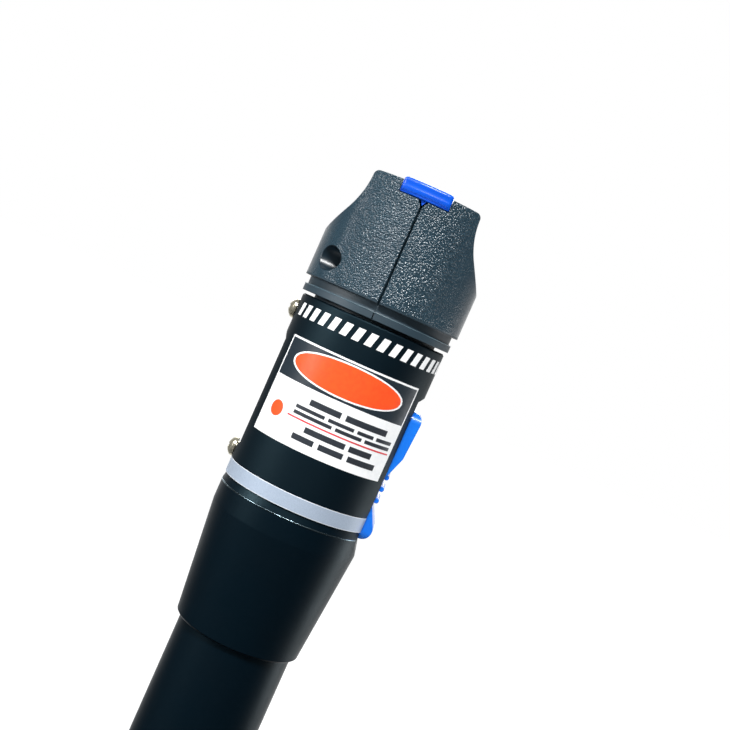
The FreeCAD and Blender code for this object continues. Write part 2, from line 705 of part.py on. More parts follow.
# ---------------------------------------------------------------- head
def make_head_shell(label, side):
    """One moulded half of the head. side is -1 for the left half, 1 for the right.

    The half is turned from its section, then the flank, the notch for the dust cap, the
    seam's groove and the holes of the two head screws are cut.
    """
    bore = "(Sizes.module_radius + Sizes.fit_gap)"
    pocket_radius = "(Sizes.receptacle_flange_radius + Sizes.fit_gap)"
    body = new_body(label)
    section = sketch_on(body, "YZ_Plane", label + "_section")
    across = side
    outline(section, [
        (f"{across} * {bore}", SPIGOT_BOTTOM),
        (f"{across} * {FITTED_RADIUS}", SPIGOT_BOTTOM),
        (f"{across} * {FITTED_RADIUS}", FLANGE_BOTTOM),
        (f"{across} * {FLANGE_RADIUS}", FLANGE_BOTTOM),
        (f"{across} * {FLANGE_RADIUS}", FLANGE_TOP),
        (f"{across} * {BARREL_RADIUS}", FLANGE_TOP),
        (f"{across} * {BARREL_RADIUS}", HEAD_BOTTOM),
        (f"{across} * {HEAD_RADIUS}", HEAD_BOTTOM),
        (f"{across} * {HEAD_RADIUS}", HEAD_TOP),
        (f"{across} * Sizes.well_radius", HEAD_TOP),
        (f"{across} * Sizes.well_radius", WELL_FLOOR),
        (f"{across} * {pocket_radius}", WELL_FLOOR),
        (f"{across} * {pocket_radius}", FLANGE_SEAT),
        (f"{across} * {bore}", FLANGE_SEAT),
    ])
    revolve(body, section, label + "_turned", angle=180.0)
    if body.Shape.CenterOfMass.x * side < 0:
        body.Tip.Reversed = True
        doc.recompute()

    # flank: upright at the crown, an arc, then a straight slope down to the full radius
    flank = sketch_on(body, "XZ_Plane", label + "_flank")
    crown = value("Sizes.crown_half_width")
    arc_radius = value("Sizes.flank_arc_radius")
    radius = value(HEAD_RADIUS)
    turn_height = value(f"{HEAD_TOP} - Sizes.crown_drop")
    foot_height = value(f"{HEAD_BOTTOM} + Sizes.flank_rise")
    centre = Vector(side * (crown + arc_radius), turn_height, 0)
    foot = Vector(side * radius, foot_height, 0)
    reach = foot - centre
    swing = math.acos(arc_radius / reach.Length)
    towards = math.atan2(reach.y, reach.x)
    tangent_angle = towards + side * -swing
    tangent = centre + Vector(math.cos(tangent_angle), math.sin(tangent_angle), 0) * arc_radius
    upright = Vector(side * crown, turn_height, 0)
    angles = [math.atan2(p.y - centre.y, p.x - centre.x) for p in (upright, tangent)]
    if side < 0:
        angles.reverse()
    outer = side * (radius + PAST)
    above = value(HEAD_TOP) + PAST
    arc = flank.addGeometry(Part.ArcOfCircle(
        Part.Circle(centre, Vector(0, 0, 1), arc_radius), angles[0], angles[1]))
    arc_top, arc_foot = (1, 2) if side > 0 else (2, 1)
    path = [tangent, foot, Vector(outer, foot_height, 0), Vector(outer, above, 0),
            Vector(side * crown, above, 0), upright]
    lines = [flank.addGeometry(Part.LineSegment(a, b)) for a, b in zip(path, path[1:])]
    flank.addConstraint(Sketcher.Constraint("Tangent", arc, arc_foot, lines[0], 1))
    for one, other in zip(lines, lines[1:]):
        flank.addConstraint(Sketcher.Constraint("Coincident", one, 2, other, 1))
    flank.addConstraint(Sketcher.Constraint("Coincident", lines[-1], 2, arc, arc_top))
    crown_x = f"{side} * Sizes.crown_half_width"
    turn_z = f"{HEAD_TOP} - Sizes.crown_drop"
    foot_z = f"{HEAD_BOTTOM} + Sizes.flank_rise"
    outer_x = f"{side} * ({HEAD_RADIUS} + {PAST})"
    above_z = f"{HEAD_TOP} + {PAST}"
    bind(flank, "DistanceX", -1, 1, arc, 3,
         to=f"{side} * (Sizes.crown_half_width + Sizes.flank_arc_radius)")
    bind(flank, "DistanceY", -1, 1, arc, 3, to=turn_z)
    bind(flank, "DistanceX", -1, 1, arc, arc_top, to=crown_x)
    bind(flank, "DistanceY", -1, 1, arc, arc_top, to=turn_z)
    for line, x, z in ((lines[1], f"{side} * {HEAD_RADIUS}", foot_z),
                       (lines[2], outer_x, foot_z), (lines[3], outer_x, above_z),
                       (lines[4], crown_x, above_z)):
        bind(flank, "DistanceX", -1, 1, line, 1, to=x)
        bind(flank, "DistanceY", -1, 1, line, 1, to=z)
    pocket(body, flank, label + "_flank_cut", f"3 * {HEAD_RADIUS}", both_ways=True)

    # the crown's long edge is rounded
    top = value(HEAD_TOP)
    round_edges(body, label + "_crown_round", cell("crown_round"),
                lambda edge: all(near(p.z, top) and near(abs(p.x), crown)
                                 for p in ends_of(edge)))

    # notch across the top for the dust cap's bar, with the vee over the seam
    notch = sketch_on(body, "XZ_Plane", label + "_notch")
    wide, vee = f"{side} * Sizes.notch_half_width", f"{side} * Sizes.seam_vee_half_width"
    outline(notch, [
        (f"{-side * PAST}", f"{HEAD_TOP} + {PAST}"),
        (wide, f"{HEAD_TOP} + {PAST}"),
        (wide, NOTCH_FLOOR),
        (vee, NOTCH_FLOOR),
        ("0", f"{NOTCH_FLOOR} - Sizes.seam_vee_depth"),
        (f"{-side * PAST}", f"{NOTCH_FLOOR} - Sizes.seam_vee_depth"),
    ])
    pocket(body, notch, label + "_notch_cut", f"3 * {HEAD_RADIUS}", both_ways=True)

    # parting face: set back by the seam gap, with a groove where the seam shows
    seam = sketch_on(body, "XY_Plane", label + "_seam", lift=f"{SPIGOT_BOTTOM} - {PAST}")
    groove = f"{side} * (Sizes.seam_gap + Sizes.seam_groove_half_width)"
    face = f"{side} * Sizes.seam_gap"
    front = f"({HEAD_RADIUS} + {PAST})"
    deep = f"({HEAD_RADIUS} - Sizes.seam_groove_depth)"
    over = f"{-side * PAST}"
    outline(seam, [
        (over, f"-{front}"), (groove, f"-{front}"),
        (groove, f"-{HEAD_RADIUS}"), (face, f"-{deep}"),
        (face, deep), (groove, HEAD_RADIUS),
        (groove, front), (over, front),
    ])
    pocket(body, seam, label + "_seam_cut", along_normal=True)

    # head screws: heads sink into the left half, the shanks bite into the right one
    for place, offset in (("front", "-Sizes.head_screw_offset"),
                          ("back", "Sizes.head_screw_offset")):
        name = f"{label}_{place}"
        if side < 0:
            hole = sketch_on(body, "YZ_Plane", name + "_clearance")
            disc(hole, offset, HEAD_SCREW_HEIGHT, CLEARANCE_RADIUS)
            pocket(body, hole, name + "_clearance_cut", f"Sizes.counterbore_floor + {PAST}")
            seat = sketch_on(body, "YZ_Plane", name + "_seat", lift="-Sizes.counterbore_floor")
            disc(seat, offset, HEAD_SCREW_HEIGHT, "Sizes.counterbore_radius")
            pocket(body, seat, name + "_seat_cut")
        else:
            pilot = sketch_on(body, "YZ_Plane", name + "_pilot")
            disc(pilot, offset, HEAD_SCREW_HEIGHT, PILOT_RADIUS)
            pocket(body, pilot, name + "_pilot_cut", "Sizes.head_screw_length"
                   " - Sizes.counterbore_floor + Sizes.pilot_end_gap", along_normal=True)
    if side < 0:
        cut_side_hole(body, "spigot_pilot", UPPER_SCREW_HEIGHT, PILOT_RADIUS,
                      SIDE_PILOT_START, "Sizes.side_screw_length")
    return body


def make_head_screws():
    """The two screws that hold the head's halves together, front and back."""
    group = doc.addObject("Part::Compound", "head_screws")
    group.Links = [
        make_screw(f"head_screw_{place}", "Sizes.head_screw_length", HEAD_SCREW_HEIGHT,
                   "Sizes.counterbore_floor", offset)
        for place, offset in (("front", "Sizes.head_screw_offset"),
                              ("back", "(-Sizes.head_screw_offset)"))
    ]
    group.Label = "head_screws"
    return group


def make_dust_cap():
    """The cap over the ferrule socket: a skirt round the nose, a disc in the well and
    the bar in the notch that the fingers pull."""
    body = new_body("dust_cap")
    base = f"({NOTCH_FLOOR} + Sizes.cap_floor_gap)"
    disc_bottom = f"({WELL_FLOOR} + Sizes.nose_height + Sizes.run_gap)"
    skirt_bottom = f"({disc_bottom} - Sizes.cap_skirt_length)"
    skirt_bore = "(Sizes.nose_radius + Sizes.run_gap)"
    skirt = f"({skirt_bore} + Sizes.cap_skirt_wall)"
    rim = "(Sizes.well_radius - Sizes.cap_side_gap)"
    section = sketch_on(body, "XZ_Plane", "cap_section")
    outline(section, [
        ("0", disc_bottom), (skirt_bore, disc_bottom), (skirt_bore, skirt_bottom),
        (skirt, skirt_bottom), (skirt, disc_bottom), (rim, disc_bottom),
        (rim, f"{disc_bottom} + Sizes.cap_disc_height"),
        ("0", f"{disc_bottom} + Sizes.cap_disc_height"),
    ])
    revolve(body, section, "cap_turned")
    bar = sketch_on(body, "XY_Plane", "cap_bar", lift=base)
    reach = f"({HEAD_RADIUS} + Sizes.cap_bar_proud)"
    half = "Sizes.cap_bar_half_width"
    end = f"sqrt({reach}^2 - {half}^2)"
    outline(bar, [
        (f"-{half}", f"-{end}", f"+{reach}"), (half, f"-{end}"),
        (half, end, f"+{reach}"), (f"-{half}", end),
    ])
    pad(body, bar, "cap_bar_pad", "Sizes.cap_bar_height")
    top = value(f"{base} + Sizes.cap_bar_height")
    floor = value(base)
    width = value(half)

    def bar_edge(edge):
        points = ends_of(edge)
        on_top = all(near(p.z, top) for p in points)
        at_ends = all(near(abs(p.x), width) for p in points) and \
            not near(points[0].z, points[-1].z) and edge.BoundBox.YLength < 0.01
        end_foot = all(near(p.z, floor) and near(abs(p.x), width) for p in points) and \
            edge.BoundBox.XLength > width
        return on_top or at_ends or end_foot

    round_edges(body, "cap_bar_round", cell("cap_edge_round"), bar_edge)
    rib = sketch_on(body, "XZ_Plane", "cap_rib")
    outline(rib, [
        ("-Sizes.cap_rib_half_width", f"{base} + 0.2"),
        ("-Sizes.cap_rib_half_width", base),
        ("0", f"{base} - Sizes.cap_rib_depth"),
        ("Sizes.cap_rib_half_width", base),
        ("Sizes.cap_rib_half_width", f"{base} + 0.2"),
    ])
    pad(body, rib, "cap_rib_pad", f"2 * ({HEAD_RADIUS} - Sizes.cap_bar_proud)",
        both_ways=True)
    return body


# ---------------------------------------------------------------- slide button
def make_slider_button():
    """The blue button: two finger humps with three ridges between them, and the stem
    that takes the switch's knob."""
    body = new_body("slider_button")
    back, top, bottom = SLIDER_BACK, SLIDER_TOP, SLIDER_BOTTOM
    valley = f"({back} + Sizes.valley_height)"
    upper = f"({back} + Sizes.upper_hump_height)"
    lower = f"({back} + Sizes.lower_hump_height)"
    taper_end = f"({top} - Sizes.upper_hump_length - Sizes.upper_hump_taper)"
    lower_peak = f"({bottom} + Sizes.lower_hump_length)"
    side = sketch_on(body, "XZ_Plane", "button_side")
    outline(side, [
        (back, bottom),
        (lower, bottom),
        (lower, lower_peak),
        (valley, f"{lower_peak} + Sizes.lower_hump_taper"),
        (valley, taper_end),
        (f"{upper} - Sizes.upper_hump_fall", f"{top} - Sizes.upper_hump_length"),
        (upper, top),
        (back, top),
    ])
    pad(body, side, "button_pad", "Sizes.slider_width", both_ways=True)
    lower_x, upper_x, back_x = value(lower), value(upper), value(back)
    top_z, bottom_z, peak_z = value(top), value(bottom), value(lower_peak)

    def along_y(x, z):
        return lambda edge: all(near(p.x, x) and near(p.z, z) for p in ends_of(edge))

    round_edges(body, "upper_end_round", cell("upper_hump_round"), along_y(upper_x, top_z))
    round_edges(body, "lower_end_round", cell("lower_hump_round"), along_y(lower_x, bottom_z))
    round_edges(body, "peak_round", "Sizes.lower_hump_round / 2", along_y(lower_x, peak_z))

    ridge = sketch_on(body, "XZ_Plane", "ridge")
    disc(ridge, f"{valley} + Sizes.ridge_rise", f"{top} - Sizes.ridge_drop",
         "Sizes.ridge_radius")
    pad(body, ridge, "ridge_pad", "Sizes.slider_width - 2 * Sizes.slider_edge_round",
        both_ways=True)
    ridges = body.newObject("PartDesign::LinearPattern", "ridges")
    ridges.Originals = [body.getObject("ridge_pad")]
    axis = next(f for f in body.Origin.OriginFeatures if f.Role == "Z_Axis")
    ridges.Direction = (axis, [""])
    ridges.Reversed = True
    ridges.setExpression("Occurrences", cell("ridge_count"))
    ridges.setExpression("Length", "(Sizes.ridge_count - 1) * Sizes.ridge_pitch")
    body.Tip = ridges
    doc.recompute()

    # rounded in plan to match its slot
    plan = sketch_on(body, "YZ_Plane", "button_plan", lift=back)
    half = "(Sizes.slider_width / 2)"
    frame_half = f"({half} + {PAST})"
    rectangle(plan, f"-{frame_half}", f"{bottom} - {PAST}", frame_half, f"{top} + {PAST}")
    rounded_rectangle(plan, f"-{half}", bottom, half, top, "Sizes.slider_corner_radius")
    pocket(body, plan, "button_plan_cut", along_normal=True)

    stem = sketch_on(body, "YZ_Plane", "stem", lift=STEM_END)
    rectangle(stem, "-Sizes.stem_width / 2", STEM_BOTTOM, "Sizes.stem_width / 2", STEM_TOP)
    pad(body, stem, "stem_pad", "Sizes.stem_reach + 0.1")
    socket = sketch_on(body, "YZ_Plane", "knob_socket", lift=STEM_END)
    knob_half = "(Sizes.knob_width / 2 + Sizes.fit_gap)"
    knob_rise = "(Sizes.knob_height / 2 + Sizes.fit_gap)"
    rectangle(socket, f"-{knob_half}", f"{STEM_MIDDLE} - {knob_rise}", knob_half,
              f"{STEM_MIDDLE} + {knob_rise}")
    pocket(body, socket, "knob_socket_cut", "Sizes.stem_reach - Sizes.knob_wall",
           along_normal=True)
    return body


def make_switch_knob():
    """The switch's knob; it sits in the stem's socket and moves with the button."""
    body = new_body("switch_knob")
    start = f"({SWITCH_FACE} - Sizes.knob_bite)"
    end = f"({SLIDER_BACK} - Sizes.knob_wall - Sizes.fit_gap)"
    face = sketch_on(body, "YZ_Plane", "knob_face", lift=start)
    rectangle(face, "-Sizes.knob_width / 2", f"{STEM_MIDDLE} - Sizes.knob_height / 2",
              "Sizes.knob_width / 2", f"{STEM_MIDDLE} + Sizes.knob_height / 2")
    pad(body, face, "knob_pad", f"{end} - {start}")
    return body


# ---------------------------------------------------------------- electronics
def make_slide_switch():
    """The switch's can on the board, open over the knob's travel."""
    body = new_body("slide_switch")
    base = sketch_on(body, "YZ_Plane", "switch_base", lift=BOARD_FACE)
    top = f"({STEM_TOP} + Sizes.switch_drop)"
    rectangle(base, "-Sizes.switch_width / 2", f"{top} - Sizes.switch_length",
              "Sizes.switch_width / 2", top)
    pad(body, base, "switch_pad", "Sizes.switch_height")
    slot = sketch_on(body, "YZ_Plane", "knob_slot", lift=SWITCH_FACE)
    half = "(Sizes.knob_width / 2 + Sizes.run_gap)"
    rise = "(Sizes.knob_height / 2 + Sizes.run_gap)"
    rectangle(slot, f"-{half}", f"{STEM_MIDDLE} - {rise}", half,
              f"{STEM_MIDDLE} + {rise} + Sizes.slide_travel")
    pocket(body, slot, "knob_slot_cut", "Sizes.knob_bite + Sizes.run_gap")
    return body


def make_circuit_board():
    """The driver board, its narrow foot in the carrier's slot."""
    body = new_body("circuit_board")
    face = sketch_on(body, "YZ_Plane", "board_face", lift=BOARD_BACK)
    foot = f"({CARRIER_TOP} - Sizes.board_slot_depth)"
    step = f"({foot} + Sizes.board_foot_height)"
    top = f"({SPIGOT_BOTTOM} - Sizes.board_top_gap)"
    narrow, wide = "Sizes.board_foot_width / 2", BOARD_HALF_WIDTH
    outline(face, [
        (f"-{narrow}", foot), (narrow, foot), (narrow, step), (wide, step),
        (wide, top), (f"-{wide}", top), (f"-{wide}", step), (f"-{narrow}", step),
    ])
    pad(body, face, "board_pad", "Sizes.board_thickness")
    return body


def make_driver_chip():
    body = new_body("driver_chip")
    base = sketch_on(body, "YZ_Plane", "chip_base", lift=BOARD_FACE)
    bottom = f"({CARRIER_TOP} + Sizes.chip_rise)"
    rectangle(base, "-Sizes.chip_width / 2", bottom, "Sizes.chip_width / 2",
              f"{bottom} + Sizes.chip_length")
    pad(body, base, "chip_pad", "Sizes.chip_height")
    return body


def make_contact_carrier():
    """The moulded disc on the sleeve's shoulder that holds the contacts and the board."""
    body = turned("contact_carrier", [
        (f"{PILOT_RADIUS} + Sizes.rivet_radius - Sizes.screw_radius", SHOULDER),
        (FITTED_RADIUS, SHOULDER),
        (FITTED_RADIUS, CARRIER_TOP),
        (f"{PILOT_RADIUS} + Sizes.rivet_radius - Sizes.screw_radius", CARRIER_TOP),
    ])
    slot = sketch_on(body, "XY_Plane", "board_slot", lift=CARRIER_TOP)
    half = "(Sizes.board_foot_width / 2 + Sizes.fit_gap)"
    rectangle(slot, f"{BOARD_BACK} - Sizes.fit_gap", f"-{half}",
              f"{BOARD_FACE} + Sizes.fit_gap", half)
    pocket(body, slot, "board_slot_cut", "Sizes.board_slot_depth")
    return body


def make_front_contact():
    """The riveted button that the front cell's nub presses on."""
    return turned("front_contact", [
        ("0", CONTACT_FACE),
        ("Sizes.contact_radius", CONTACT_FACE),
        ("Sizes.contact_radius", SHOULDER),
        ("Sizes.rivet_radius", SHOULDER),
        ("Sizes.rivet_radius", f"{CARRIER_TOP} + Sizes.rivet_stand"),
        ("0", f"{CARRIER_TOP} + Sizes.rivet_stand"),
    ])


def make_return_contact():
    """The flat ring that the battery tube's rim meets when it is screwed home."""
    inner = f"{TUBE_RADIUS} - Sizes.return_ring_width"
    face = f"{SHOULDER} - Sizes.return_ring_height"
    return turned("return_contact", [
        (inner, face),
        (TUBE_RADIUS, face),
        (TUBE_RADIUS, SHOULDER),
        (inner, SHOULDER),
    ])


def make_inner_chassis():
    """The moulded tube in the barrel: a bulkhead round the laser module, a window for
    the switch, a gap for the board and a boss for the lower side screw."""
    inner, outer = CHASSIS_BORE, FITTED_RADIUS
    bulkhead = f"({CARRIER_TOP} + Sizes.bulkhead_rise)"
    hole = "(Sizes.module_radius + Sizes.fit_gap)"
    body = turned("inner_chassis", [
        (inner, CARRIER_TOP),
        (outer, CARRIER_TOP),
        (outer, SPIGOT_BOTTOM),
        (inner, SPIGOT_BOTTOM),
        (inner, f"{bulkhead} + Sizes.bulkhead_height"),
        (hole, f"{bulkhead} + Sizes.bulkhead_height"),
        (hole, bulkhead),
        (inner, bulkhead),
    ])
    boss = sketch_on(body, "YZ_Plane", "boss", lift=f"-({inner} + Sizes.fit_gap)")
    disc(boss, "0", LOWER_SCREW_HEIGHT, "Sizes.boss_radius")
    pad(body, boss, "boss_pad", "Sizes.boss_reach")
    cut_side_hole(body, "boss_pilot", LOWER_SCREW_HEIGHT, PILOT_RADIUS, SIDE_PILOT_START,
                  "Sizes.side_screw_length")
    window = sketch_on(body, "YZ_Plane", "switch_window", lift=f"{inner} / 2")
    bottom = f"({CARRIER_TOP} + Sizes.window_rise)"
    rectangle(window, "-Sizes.window_width / 2", bottom, "Sizes.window_width / 2",
              f"{bottom} + Sizes.window_length")
    pocket(body, window, "switch_window_cut", along_normal=True)
    gap = sketch_on(body, "XY_Plane", "board_gap", lift=f"{bulkhead} - {PAST}")
    half = f"({BOARD_HALF_WIDTH} + Sizes.fit_gap)"
    rectangle(gap, f"{BOARD_BACK} - 2 * Sizes.fit_gap", f"-{half}",
              f"{BOARD_FACE} + 2 * Sizes.fit_gap", half)
    pocket(body, gap, "board_gap_cut", f"Sizes.bulkhead_height + 2 * {PAST}",
           along_normal=True)
    return body


# ---------------------------------------------------------------- optics
def make_laser_module():
    """The brass barrel of the laser: mouth, lens bore, beam chamber and diode seat."""
    mouth = "(Sizes.receptacle_spigot_radius + Sizes.fit_gap)"
    lens = "(Sizes.lens_radius + Sizes.fit_gap)"
    diode = "(Sizes.diode_flange_radius + Sizes.fit_gap)"
    return turned("laser_module", [
        (diode, MODULE_BOTTOM),
        ("Sizes.module_radius", MODULE_BOTTOM),
        ("Sizes.module_radius", FLANGE_SEAT),
        (mouth, FLANGE_SEAT),
        (mouth, MOUTH_FLOOR),
        (lens, MOUTH_FLOOR),
        (lens, LENS_SEAT),
        ("Sizes.beam_chamber_radius", LENS_SEAT),
        ("Sizes.beam_chamber_radius", DIODE_SEAT),
        (diode, DIODE_SEAT),
    ])


def make_laser_diode():
    """The diode's flange and can, with three leads below it."""
    flange_bottom = f"({DIODE_SEAT} - Sizes.diode_flange_height)"
    body = turned("laser_diode", [
        ("0", flange_bottom),
        ("Sizes.diode_flange_radius", flange_bottom),
        ("Sizes.diode_flange_radius", DIODE_SEAT),
        ("Sizes.diode_can_radius", DIODE_SEAT),
        ("Sizes.diode_can_radius", f"{DIODE_SEAT} + Sizes.diode_can_height"),
        ("0", f"{DIODE_SEAT} + Sizes.diode_can_height"),
    ])
    leads = sketch_on(body, "XY_Plane", "lead_section",
                      lift=f"{flange_bottom} - Sizes.diode_lead_length")
    circle = "Sizes.diode_lead_circle"
    for across, up in ((f"-{circle}", "0"), (circle, "0"), ("0", f"-{circle}")):
        disc(leads, across, up, "Sizes.diode_lead_radius")
    pad(body, leads, "lead_pad", "Sizes.diode_lead_length + 0.2")
    return body


def make_focus_lens():
    """A biconvex lens with a straight rim, seated on the module's shoulder."""
    rim_top = f"({LENS_SEAT} + Sizes.lens_rim_height)"
    bulge = "Sizes.lens_bulge"
    sphere = f"((Sizes.beam_chamber_radius^2 + {bulge}^2) / (2 * {bulge}))"
    clear = "Sizes.beam_chamber_radius"
    return turned("focus_lens", [
        ("0", f"{LENS_SEAT} - {bulge}", f"+{sphere}"),
        (clear, LENS_SEAT),
        ("Sizes.lens_radius", LENS_SEAT),
        ("Sizes.lens_radius", rim_top),
        (clear, rim_top, f"+{sphere}"),
        ("0", f"{rim_top} + {bulge}"),
    ])


def make_lens_retainer():
    rim_top = f"({LENS_SEAT} + Sizes.lens_rim_height)"
    hole = "(Sizes.beam_chamber_radius + Sizes.fit_gap)"
    ring_top = f"({rim_top} + Sizes.retainer_height)"
    return turned("lens_retainer", [
        (hole, rim_top),
        ("Sizes.lens_radius", rim_top),
        ("Sizes.lens_radius", ring_top),
        ("Sizes.retainer_hole_radius", ring_top),
        ("Sizes.retainer_hole_radius", f"{ring_top} - Sizes.retainer_height / 3"),
        (hole, f"{ring_top} - Sizes.retainer_height / 2"),
    ])


FERRULE_SEAT = f"({WELL_FLOOR} + Sizes.nose_height - Sizes.nose_lip_height" \
               " - Sizes.ferrule_sleeve_length)"


def make_receptacle():
    """The turned socket: nose, clamped flange, and a spigot in the module's mouth."""
    bore = "(Sizes.sleeve_bore_radius + Sizes.ferrule_sleeve_wall + 0.02)"
    nose_top = f"({WELL_FLOOR} + Sizes.nose_height)"
    chamfer = "Sizes.nose_chamfer"
    return turned("receptacle", [
        ("Sizes.beam_hole_radius", MOUTH_FLOOR),
        ("Sizes.receptacle_spigot_radius", MOUTH_FLOOR),
        ("Sizes.receptacle_spigot_radius", FLANGE_SEAT),
        ("Sizes.receptacle_flange_radius", FLANGE_SEAT),
        ("Sizes.receptacle_flange_radius", WELL_FLOOR),
        ("Sizes.nose_radius", WELL_FLOOR),
        ("Sizes.nose_radius", f"{nose_top} - {chamfer}"),
        (f"Sizes.nose_radius - {chamfer}", nose_top),
        ("Sizes.nose_lip_radius", nose_top),
        ("Sizes.nose_lip_radius", f"{nose_top} - Sizes.nose_lip_height"),
        (bore, f"{nose_top} - Sizes.nose_lip_height"),
        (bore, FERRULE_SEAT),
        ("Sizes.beam_hole_radius", FERRULE_SEAT),
    ])


def make_alignment_sleeve():
    """The ceramic sleeve whose bore takes the connector's ferrule."""
    outer = "(Sizes.sleeve_bore_radius + Sizes.ferrule_sleeve_wall)"
    top = f"({FERRULE_SEAT} + Sizes.ferrule_sleeve_length)"
    return turned("alignment_sleeve", [
        ("Sizes.sleeve_bore_radius", FERRULE_SEAT),
        (outer, FERRULE_SEAT),
        (outer, top),
        ("Sizes.sleeve_bore_radius", top),
    ])


# ---------------------------------------------------------------- the whole pen
pieces = [
    make_head_shell("head_shell_left", -1),
    make_head_shell("head_shell_right", 1),
    make_head_screws(),
    make_dust_cap(),
    make_receptacle(),
    make_alignment_sleeve(),
    make_laser_module(),
    make_laser_diode(),
    make_focus_lens(),
    make_lens_retainer(),
    make_barrel(),
    make_band_ring(),
    make_taper_sleeve(),
    make_screw("side_screw_upper", "Sizes.side_screw_length", UPPER_SCREW_HEIGHT,
               f"({BARREL_RADIUS} + Sizes.side_screw_stand)"),
    make_screw("side_screw_lower", "Sizes.side_screw_length", LOWER_SCREW_HEIGHT,
               f"({BARREL_RADIUS} + Sizes.side_screw_stand)"),
    make_inner_chassis(),
    make_circuit_board(),
    make_driver_chip(),
    make_slide_switch(),
    make_contact_carrier(),
    make_front_contact(),
    make_return_contact(),
    make_slider_button(),
    make_switch_knob(),
    make_cell("cell_front", f"({STACK_BOTTOM} + Sizes.cell_length)"),
    make_cell("cell_rear", STACK_BOTTOM),
    make_battery_tube(),
    make_tube_seal(),
    make_tail_plug(),
    make_tail_spring(),
]
doc.recompute()

for item in doc.Objects:
    if "Invalid" in item.State or "Error" in item.State:
        raise RuntimeError(f"{item.Label} failed: {item.State}")
for piece in pieces:
    if piece.Shape.isNull() or not piece.Shape.isValid() or not piece.Shape.Solids:
        raise RuntimeError(f"{piece.Label} has no valid solid")

os.makedirs("parts", exist_ok=True)
for piece in pieces:
    piece.Shape.exportStep(f"parts/{piece.Label}.step")
    box = piece.Shape.BoundBox
    print(f"{piece.Label}: {len(piece.Shape.Solids)} solid, {piece.Shape.Volume:.1f} mm3,"
          f" z {box.ZMin:.2f} to {box.ZMax:.2f}")
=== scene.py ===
"""Looks for the pen-type visual fault locator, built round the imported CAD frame.

The pen stands on the floor with its axis on Z, its label towards -Y and its slide button
towards +X. Sizes below are in millimetres unless they say otherwise; MM turns them into
Blender's metres.
"""

import math

import bmesh
import bpy
from mathutils import Matrix, Vector


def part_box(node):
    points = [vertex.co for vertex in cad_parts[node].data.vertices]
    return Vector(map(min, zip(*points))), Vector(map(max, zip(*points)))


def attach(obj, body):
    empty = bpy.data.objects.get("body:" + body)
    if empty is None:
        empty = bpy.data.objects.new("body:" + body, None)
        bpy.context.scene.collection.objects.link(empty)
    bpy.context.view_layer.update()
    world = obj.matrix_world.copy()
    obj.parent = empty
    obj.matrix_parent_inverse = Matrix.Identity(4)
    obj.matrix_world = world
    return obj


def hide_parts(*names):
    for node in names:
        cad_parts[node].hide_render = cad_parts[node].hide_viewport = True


MM = 0.001

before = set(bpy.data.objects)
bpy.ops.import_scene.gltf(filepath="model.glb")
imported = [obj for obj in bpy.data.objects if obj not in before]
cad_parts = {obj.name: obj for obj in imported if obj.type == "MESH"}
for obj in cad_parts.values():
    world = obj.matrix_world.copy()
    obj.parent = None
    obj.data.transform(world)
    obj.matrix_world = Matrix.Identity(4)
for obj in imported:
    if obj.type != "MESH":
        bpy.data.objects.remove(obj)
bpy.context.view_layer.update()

# ---------------------------------------------------------------- places from the frame, mm
BARREL_LOW, BARREL_HIGH = [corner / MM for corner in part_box("barrel")]
BARREL_RADIUS = BARREL_HIGH.y
SCREWS_LOW, SCREWS_HIGH = [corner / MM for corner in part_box("head_screws")]

HEAD_COLLAR_TOP = BARREL_HIGH.z + 3.1           # where the head's leather grain starts
GRAIN_FULL, GRAIN_END = 6.8, 10.2               # grain fades this far from the seam's plane
FLANGE_TOP = BARREL_HIGH.z + 1.65               # upper edge of the head's flange
FLANGE_PROUD = 0.4                              # beyond the barrel
FLANGE_HIGHLIGHT_DROP = 0.1                                # from the flange's upper edge to its painted highlight line
BORE_RADIUS = 1.97                              # counterbores in the head's left flank
SCREW_HEAD_RADIUS = 1.6
BORE_PLACE = SCREWS_HIGH.y - SCREW_HEAD_RADIUS  # counterbores' distance from the axis
BORE_HEIGHT = (SCREWS_LOW.z + SCREWS_HIGH.z) / 2
SLEEVE_EDGE_DROP = 1.38                         # from the sleeve's top to its collar's edge
SLEEVE_EDGE_RADIUS = BARREL_RADIUS - 0.01
SLOT_OPENING = 22                               # degrees, half of the slide button's slot


# ---------------------------------------------------------------- materials
def linear(red, green, blue):
    """A colour given as 0-255 screen values, as Blender's linear RGBA."""
    def channel(screen):
        part = screen / 255
        return part / 12.92 if part <= 0.04045 else ((part + 0.055) / 1.055) ** 2.4
    return (channel(red), channel(green), channel(blue), 1.0)


def calculate(tree, operation, first, second=None):
    """What a Math node gives; first and second are sockets or numbers."""
    node = tree.nodes.new("ShaderNodeMath")
    node.operation = operation
    for socket, term in zip(node.inputs, (first, second)):
        if isinstance(term, (int, float)):
            socket.default_value = term
        elif term is not None:
            tree.links.new(term, socket)
    return node.outputs["Value"]


